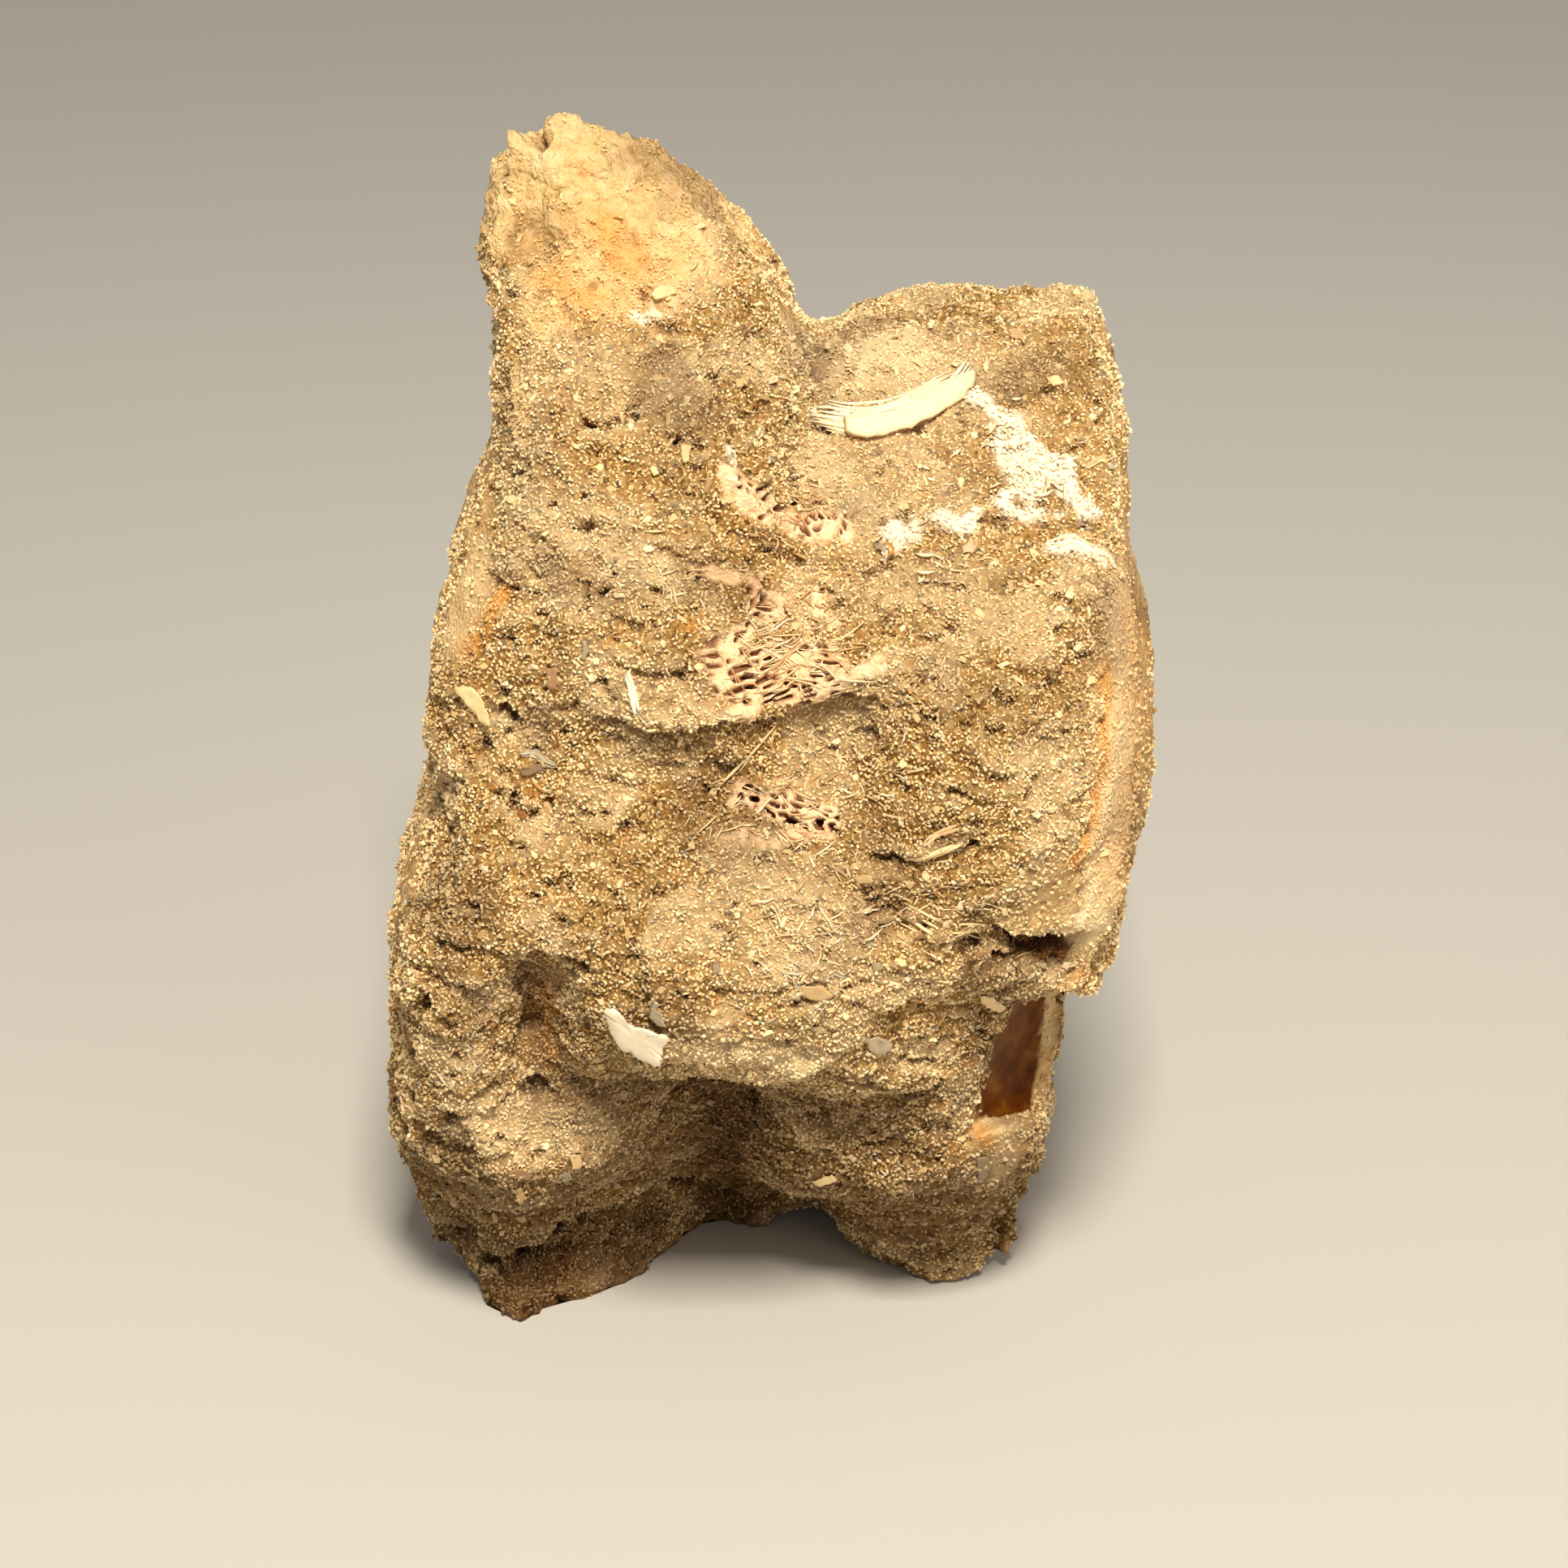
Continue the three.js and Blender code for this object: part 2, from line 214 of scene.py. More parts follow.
def edges_of(faces, count):
    """Each edge once, as a pair of points, and which edge each side of each triangle is."""
    sides = np.sort(faces[:, [[0, 1], [1, 2], [2, 0]]], axis=2).astype(np.int64)
    keys, edge_of_side = np.unique(sides[..., 0] * count + sides[..., 1], return_inverse=True)
    return np.stack([keys // count, keys % count], axis=1), edge_of_side.reshape(-1, 3)


def split_long_edges(points, faces, wanted):
    """Triangles parted in two, three or four wherever a side is longer than wanted there."""
    edges, edge_of_side = edges_of(faces, len(points))
    ends = points[edges]
    middles = ends.mean(axis=1)
    long = np.linalg.norm(ends[:, 0] - ends[:, 1], axis=1) > SPLIT_OVER * wanted(middles)
    middle_index = len(points) + np.cumsum(long) - 1
    marked = long[edge_of_side]
    count = marked.sum(axis=1)
    turn = np.where(count == 1, np.argmax(marked, axis=1), 0)
    turn = np.where(count == 2, (np.argmin(marked, axis=1) + 1) % 3, turn)
    order = (turn[:, None] + np.arange(3)) % 3
    rows = np.arange(len(faces))[:, None]
    a, b, c = faces[rows, order].T
    p, q, r = middle_index[edge_of_side][rows, order].T
    patterns = {
        0: [(a, b, c)],
        1: [(a, p, c), (p, b, c)],
        2: [(p, b, q), (a, p, q), (a, q, c)],
        3: [(a, p, r), (p, b, q), (r, q, c), (p, q, r)],
    }
    pieces = [
        np.stack(corners, axis=1)[count == kind]
        for kind, triangles in patterns.items()
        for corners in triangles
    ]
    return np.concatenate([points, middles[long]]), np.concatenate(pieces)


def relaxed(values, faces, share, passes, pinned=()):
    """Places, or other values at them, evened out among neighbours. Pinned places keep their height."""
    edges, _ = edges_of(faces, len(values))
    both = np.concatenate([edges, edges[:, ::-1]])
    count = np.bincount(both[:, 0], minlength=len(values))[:, None]
    pinned = np.asarray(pinned, int)
    heights = values[pinned, 2]
    for _ in range(passes):
        total = np.stack(
            [np.bincount(both[:, 0], values[both[:, 1], axis], len(values)) for axis in range(3)],
            axis=1,
        )
        values = values + share * (total / count - values)
        values[pinned, 2] = heights
    return values


def normals_of(points, faces):
    """The direction that the surface faces at each point."""
    a, b, c = points[faces[:, 0]], points[faces[:, 1]], points[faces[:, 2]]
    face_normals = np.cross(b - a, c - a)
    normals = np.stack(
        [sum(np.bincount(faces[:, k], face_normals[:, axis], len(points)) for k in range(3))
         for axis in range(3)],
        axis=1,
    )
    return normals / np.maximum(np.linalg.norm(normals, axis=1, keepdims=True), 1e-12)


def edge_wanted(points):
    """Fine on the broken front, finer still on its spongy bone, coarser round the sides and back."""
    depth, up = points[:, 1], points[:, 2]
    behind = smooth_step(depth, -6, 6) * (1 - smooth_step(up, 60, 66))
    under = 1 - smooth_step(up, 0, 3)
    wanted = FRONT_EDGE + (BACK_EDGE - FRONT_EDGE) * np.maximum(behind, under)
    for start, end, size in SPONGY_ZONES:
        away = nearness(points[:, ::2], start, end)[0]
        wanted = np.where((away < size) & (depth < SPONGY_FRONT), PORE_EDGE, wanted)
    return wanted


def refined_stone():
    """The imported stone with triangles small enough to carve, its flat facets evened out a little."""
    points, faces = packed_stone()
    for _ in range(REFINE_ROUNDS):
        points, faces = split_long_edges(points, faces, edge_wanted)
        on_floor = np.flatnonzero(points[:, 2] < FLOOR_TOUCH)
        points = relaxed(points, faces, 0.5, EVENING_PASSES, pinned=on_floor)
    return points, faces


# ---------------------------------------------------------------- what the surface carries

# A place on the front face is [x, z], where its depth is looked up on the stone, or [x, y, z].

# Pores of the spongy bone: from, to, half width and depth.
PORES = [
    ([-0.2, 60.6], [-0.1, 60.6], 0.23, 1), ([0.2, 60.1], [0.2, 60.1], 0.14, 0.6),
    ([0.9, 58.9], [1.0, 58.9], 0.33, 1.1), ([1.5, 58.9], [1.8, 58.9], 0.18, 0.9),
    ([1.7, 59.7], [1.8, 59.6], 0.14, 0.6), ([2.7, 57.4], [2.8, 57.4], 0.21, 0.9),
    ([2.9, 58.0], [3.1, 58.0], 0.13, 0.6), ([-0.3, 54.7], [-0.2, 54.6], 0.23, 1.0),
    ([-1.0, 54.3], [-0.9, 54.0], 0.26, 1.2), ([-0.3, 53.9], [-0.2, 53.7], 0.13, 0.8),
    ([-1.2, 53.8], [-1.2, 53.6], 0.14, 0.8), ([-2.0, 54.6], [-2.0, 54.6], 0.14, 0.6),
    ([-2.0, 53.0], [-1.9, 53.0], 0.13, 0.7), ([-1.7, 52.4], [-1.3, 52.3], 0.19, 1.2),
    ([-0.6, 51.7], [-0.6, 51.7], 0.13, 0.8), ([-1.3, 51.3], [-0.8, 51.1], 0.18, 1.2),
    ([-0.1, 51.0], [0.5, 50.7], 0.16, 1.1), ([-2.2, 51.3], [-2.1, 51.2], 0.15, 0.8),
    ([-1.3, 50.7], [-0.8, 50.6], 0.18, 1.2), ([-1.4, 49.8], [-1.2, 49.8], 0.21, 1.1),
    ([-0.1, 49.5], [0.3, 49.4], 0.15, 1.0), ([1.1, 51.0], [1.1, 51.0], 0.13, 0.6),
    ([0.4, 51.8], [0.5, 51.8], 0.14, 0.8), ([-0.5, 52.5], [-0.4, 52.4], 0.12, 0.7),
    ([1.0, 50.4], [1.4, 50.3], 0.12, 0.7), ([-2.5, 52.1], [-2.4, 52.1], 0.13, 0.6),
    ([-1.0, 43.1], [-0.9, 43.1], 0.18, 0.9), ([0.9, 42.1], [1.1, 42.1], 0.26, 1.2),
    ([2.8, 42.2], [2.9, 42.1], 0.21, 1.1), ([-0.5, 42.6], [-0.4, 42.6], 0.12, 0.7),
    ([0.0, 42.3], [0.1, 42.3], 0.12, 0.7), ([1.8, 41.9], [2.0, 41.9], 0.13, 0.8),
    ([3.5, 41.9], [3.6, 41.8], 0.12, 0.6), ([0.3, 42.8], [0.4, 42.8], 0.11, 0.6),
]

# Open nets of the spongy bone: from, to and half width of where each lies, the place that its
# struts run towards, and how long and wide its openings are.
NETS = [
    ([-2.4, 52.0], [3.0, 51.0], 1.9, (8.5, 52.9), 1.6, 0.4),
    ([-1.4, 61.0], [3.4, 57.4], 0.8, (9.0, 50.0), 0.7, 0.42),
    ([-1.6, 43.2], [3.8, 42.1], 0.7, (20.0, 39.5), 0.8, 0.4),
    ([-1.4, 54.8], [0.6, 53.2], 0.8, (4.0, 50.0), 0.9, 0.4),
]
NET_DEPTH = 0.5

# Hollows in the sand and under broken edges: from, to, half width and depth.
HOLLOWS = [
    ([-14.0, -1.8, 78.8], [-14.3, 2.6, 79.0], 0.45, 0.85),
    ([-16.6, -1.6, 77.2], [-16.6, 1.6, 77.2], 0.5, 0.45), ([-15.2, 74.2], [-14.6, 73.4], 1.2, 0.6),
    ([-9.9, 0.0, 79.6], [-8.4, 0.4, 79.2], 0.8, 0.5), ([-11.1, 65.2], [-10.9, 65.2], 0.26, 1.2),
    ([-8.0, 65.6], [-8.0, 65.6], 0.15, 0.9), ([-5.6, 64.3], [-5.4, 64.3], 0.23, 1.1),
    ([-1.2, 67.7], [-1.1, 67.7], 0.17, 0.7), ([-15.9, 61.2], [-14.8, 61.8], 0.21, 0.7),
    ([-10.3, 56.1], [-9.8, 56.3], 0.21, 0.9), ([-14.3, 54.4], [-14.1, 54.4], 0.18, 0.7),
    ([-14.4, 52.5], [-14.0, 52.6], 0.26, 0.5), ([-16.3, 47.7], [-15.7, 47.3], 0.46, 1.2),
    ([-14.3, 48.2], [-13.9, 48.4], 0.15, 0.7), ([-6.1, 47.9], [-5.9, 47.9], 0.18, 0.7),
    ([-4.9, 47.7], [-4.5, 47.8], 0.28, 1.2), ([-15.6, 41.9], [-15.6, 42.6], 0.36, 1.4),
    ([-14.9, 41.7], [-14.5, 41.7], 0.31, 0.8), ([-18.1, 45.6], [-17.5, 45.6], 0.18, 0.7),
    ([-4.3, 62.5], [-3.9, 62.5], 0.15, 0.7), ([-7.1, 54.9], [-6.7, 54.4], 0.15, 0.6),
    ([1.9, 56.0], [1.9, 56.0], 0.26, 0.6), ([0.3, 56.2], [0.5, 56.1], 0.15, 0.7),
    ([3.1, 54.7], [3.6, 54.6], 0.26, 0.7), ([4.5, 49.8], [4.8, 49.9], 0.23, 1.1),
    ([3.8, 48.6], [4.3, 48.7], 0.21, 1.0), ([6.2, 54.2], [6.3, 54.3], 0.18, 0.7),
    ([8.1, 51.7], [8.3, 51.6], 0.17, 0.9), ([7.5, 50.8], [7.7, 50.8], 0.17, 0.8),
    ([9.5, 50.1], [9.5, 50.1], 0.16, 0.8), ([9.4, 49.3], [9.5, 49.4], 0.17, 0.8),
    ([6.5, 49.0], [6.6, 49.0], 0.17, 0.8), ([5.8, 40.6], [6.3, 40.6], 0.23, 0.9),
    ([11.8, 42.4], [12.2, 42.2], 0.23, 1.0), ([-1.3, 31.1], [-1.2, 31.1], 0.15, 0.6),
    ([1.6, 31.7], [1.7, 31.7], 0.13, 0.6), ([-3.5, 36.6], [-2.5, 36.4], 0.15, 0.6),
    ([14.0, 33.2], [14.5, 33.1], 0.41, 1.3), ([15.6, 33.2], [18.2, 32.8], 0.5, 1.1),
    ([13.0, 34.1], [13.0, 34.6], 0.31, 0.9), ([15.1, 34.1], [15.0, 34.5], 0.26, 0.9),
    ([14.3, 35.4], [13.9, 35.7], 0.23, 0.8), ([17.6, 31.8], [17.9, 31.7], 0.36, 0.8),
    ([18.6, 23.6], [18.9, 23.7], 0.21, 0.8), ([-22.1, 28.1], [-21.8, 29.2], 0.51, 1.4),
    ([-23.4, 22.7], [-23.4, 23.3], 0.51, 1.3), ([-23.3, 19.4], [-23.0, 19.5], 0.51, 1.4),
    ([-24.0, 15.5], [-24.0, 15.6], 0.46, 1.1), ([-21.0, 19.5], [-20.6, 20.0], 0.41, 1.0),
    ([-20.3, 23.7], [-20.1, 23.7], 0.26, 0.7), ([-18.8, 36.5], [-18.1, 36.3], 0.26, 0.8),
    ([-20.9, 33.4], [-20.8, 33.5], 0.26, 0.6), ([-14.9, 37.4], [-14.3, 37.3], 0.26, 0.7),
    ([-13.2, 33.2], [-11.7, 32.8], 0.41, 0.7), ([-15.1, 20.8], [-14.8, 21.0], 0.62, 0.8),
    ([-15.2, 24.9], [-15.1, 27.2], 0.46, 0.6), ([-20.3, 2.9], [-19.4, 3.6], 0.46, 1.1),
    ([-17.0, 4.2], [-16.0, 4.1], 0.41, 1.2), ([-14.7, 4.6], [-13.7, 4.7], 0.26, 0.8),
    ([-6.6, 5.2], [-5.2, 4.2], 0.36, 0.7), ([-13.0, 46.6], [-12.5, 46.7], 0.21, 0.5),
    ([-4.1, 48.5], [-2.7, 48.7], 0.26, 0.8), ([-0.3, 54.3], [-0.3, 54.3], 0.26, 0.6),
    ([-20.2, 25.1], [-19.4, 24.9], 0.26, 0.6), ([-17.3, 25.4], [-16.6, 24.5], 0.31, 0.5),
    ([-8.8, 34.3], [-8.0, 34.7], 0.21, 0.5), ([2.4, 37.6], [3.4, 37.6], 0.15, 0.5),
    ([-5.7, 32.7], [-5.2, 32.4], 0.21, 0.5), ([8.0, 25.3], [10.1, 24.3], 0.26, 0.6),
    ([4.2, 24.0], [6.8, 23.1], 0.26, 0.6), ([11.0, 27.7], [12.1, 27.2], 0.21, 0.5),
]

# Broken edges: the line of the edge, how far the stone drops to the right of it, and how far out
# it takes to come back.
LEDGES = [
    ([[-7.1, 70.6], [-6.0, 70.0]], 0.7, 1.6), ([[-11.1, 78.2], [-7.9, 75.5], [-5.9, 75.0]], 0.3, 1.6),
    ([[-15.2, 75.0], [-12.2, 73.9], [-9.3, 73.7]], 0.25, 1.8),
    ([[-10.7, 72.3], [-8.8, 72.8], [-6.6, 71.5]], 0.3, 1.6), ([[-9.3, 55.1], [-7.6, 54.9]], 0.6, 1.4),
    ([[-8.0, 52.0], [-6.7, 51.8], [-5.3, 51.8]], 0.9, 1.6), ([[-17.0, 55.4], [-14.5, 55.6]], 0.8, 1.6),
    ([[-6.3, 58.9], [-3.9, 57.7], [-2.4, 57.5]], 0.6, 1.5),
    ([[-4.7, 48.0], [-2.4, 48.8], [0.4, 47.9], [2.4, 48.6], [5.3, 50.1]], 1.0, 2.4),
    ([[2.4, 49.1], [5.3, 51.0], [8.6, 52.4]], 0.8, 1.6),
    ([[-10.2, 48.7], [-7.3, 48.0], [-4.7, 48.0]], 0.7, 2.0), ([[6.9, 36.8], [8.8, 37.0]], 0.6, 1.3),
    ([[9.1, 35.8], [12.1, 35.8]], 0.7, 1.5), ([[9.9, 39.2], [13.0, 39.4]], 0.5, 1.2),
    ([[7.0, 40.8], [8.7, 40.8], [11.5, 42.3]], 0.6, 1.4),
    ([[12.0, 35.4], [14.5, 35.5], [17.3, 34.2], [19.4, 33.8]], 1.3, 2.2),
    ([[12.9, 37.0], [14.7, 35.4]], 0.7, 1.4), ([[-1.0, 54.5], [1.7, 53.0]], 0.5, 1.2),
    ([[-15.3, 20.6], [-16.2, 23.6], [-15.3, 27.0], [-16.0, 29.7], [-15.4, 33.0]], 0.8, 2.6),
    ([[-9.8, 26.0], [-7.6, 25.6], [-4.4, 17.1], [0.4, 17.7]], 1.0, 2.6),
    ([[-22.4, 4.3], [-19.1, 4.1]], 0.7, 1.6), ([[-19.2, 4.0], [-15.6, 4.7]], 1.0, 1.8),
    ([[-15.6, 4.7], [-13.2, 5.2], [-10.5, 5.3], [-7.9, 5.7]], 0.7, 1.8),
    ([[4.4, 32.0], [7.9, 30.1], [10.4, 29.8]], 0.5, 1.5),
    ([[-3.5, 33.5], [0.0, 32.9], [2.4, 33.4]], 0.5, 1.6), ([[-20.4, 34.1], [-17.4, 33.7]], 0.5, 1.4),
    ([[-2.4, 59.6], [0.7, 57.0], [2.9, 55.9]], 0.5, 1.6),
    ([[5.3, 53.4], [7.7, 54.6], [10.6, 54.8]], 0.5, 1.6), ([[11.0, 50.6], [13.4, 50.9]], 0.5, 1.4),
    ([[-11.1, 60.0], [-8.7, 59.8]], 0.4, 1.4), ([[1.9, 65.3], [5.4, 65.0], [7.9, 65.3]], 0.4, 1.6),
    ([[10.0, 66.7], [14.2, 65.8]], 0.35, 1.6),
    ([[-22.7, 31.7], [-19.5, 31.1], [-17.6, 30.2]], 0.5, 1.8),
    ([[-0.1, 14.2], [4.6, 16.1], [8.2, 17.5]], 0.5, 1.8),
    ([[5.7, 12.4], [9.4, 11.5], [12.0, 12.8]], 0.5, 1.8),
]

# Ribs that stand out: the line, half width and height.
RIBS = [
    ([[18.4, -17.4, 30.2], [18.0, -14.0, 24.0], [17.5, -11.6, 16.8]], 0.3, 0.35),
    ([[-13.3, 0.6, 79.8], [-12.3, 1.0, 79.9]], 0.75, 0.8),
    ([[-15.4, -0.3, 78.3], [-15.3, 0.8, 78.6]], 0.42, 1.2),
    ([[-2.3, 61.7], [-0.8, 59.7], [0.7, 57.6], [2.9, 56.2]], 0.35, 0.45),
    ([[-0.3, 54.4], [1.4, 53.3], [2.0, 52.2]], 0.22, 0.4),
    ([[-4.4, 57.9], [-2.2, 56.7], [-0.5, 55.2]], 0.35, 0.4),
    ([[-2.3, 49.2], [0.0, 48.5], [2.4, 49.7], [4.3, 51.0], [6.5, 52.4], [9.1, 53.2]], 0.38, 0.5),
    ([[-2.2, 52.5], [0.4, 51.3], [2.9, 50.8]], 0.16, 0.25),
    ([[-2.2, 50.9], [0.4, 50.2], [2.9, 50.4]], 0.16, 0.3),
    ([[-1.7, 51.6], [0.7, 50.6], [2.4, 50.3]], 0.13, 0.2),
    ([[-12.1, 46.5], [-13.0, 45.6], [-13.7, 44.7]], 0.22, 0.3),
    ([[-2.5, 42.6], [-5.1, 41.2], [-6.8, 40.0]], 0.22, 0.35),
    ([[-15.8, 57.0], [-15.6, 56.7]], 0.6, 0.7),
    ([[-24.4, 24.5], [-24.9, 19.9], [-24.9, 16.5]], 0.25, 0.35),
    ([[-20.3, 29.4], [-21.9, 23.3], [-21.8, 18.7]], 0.4, 0.6),
    ([[-1.0, 40.3], [1.2, 41.1], [3.9, 41.0]], 0.3, 0.3),
    ([[0.4, 38.2], [2.9, 37.6], [5.3, 38.1]], 0.3, 0.35),
    ([[2.9, 37.6], [3.9, 36.3], [2.9, 35.0]], 0.25, 0.25),
    ([[16.6, 58.3], [18.6, 58.4], [20.8, 56.9], [22.6, -3.4, 52.5]], 0.3, 0.35),
    ([[8.0, 40.9], [9.6, 41.7], [11.6, 42.4]], 0.25, 0.3),
]

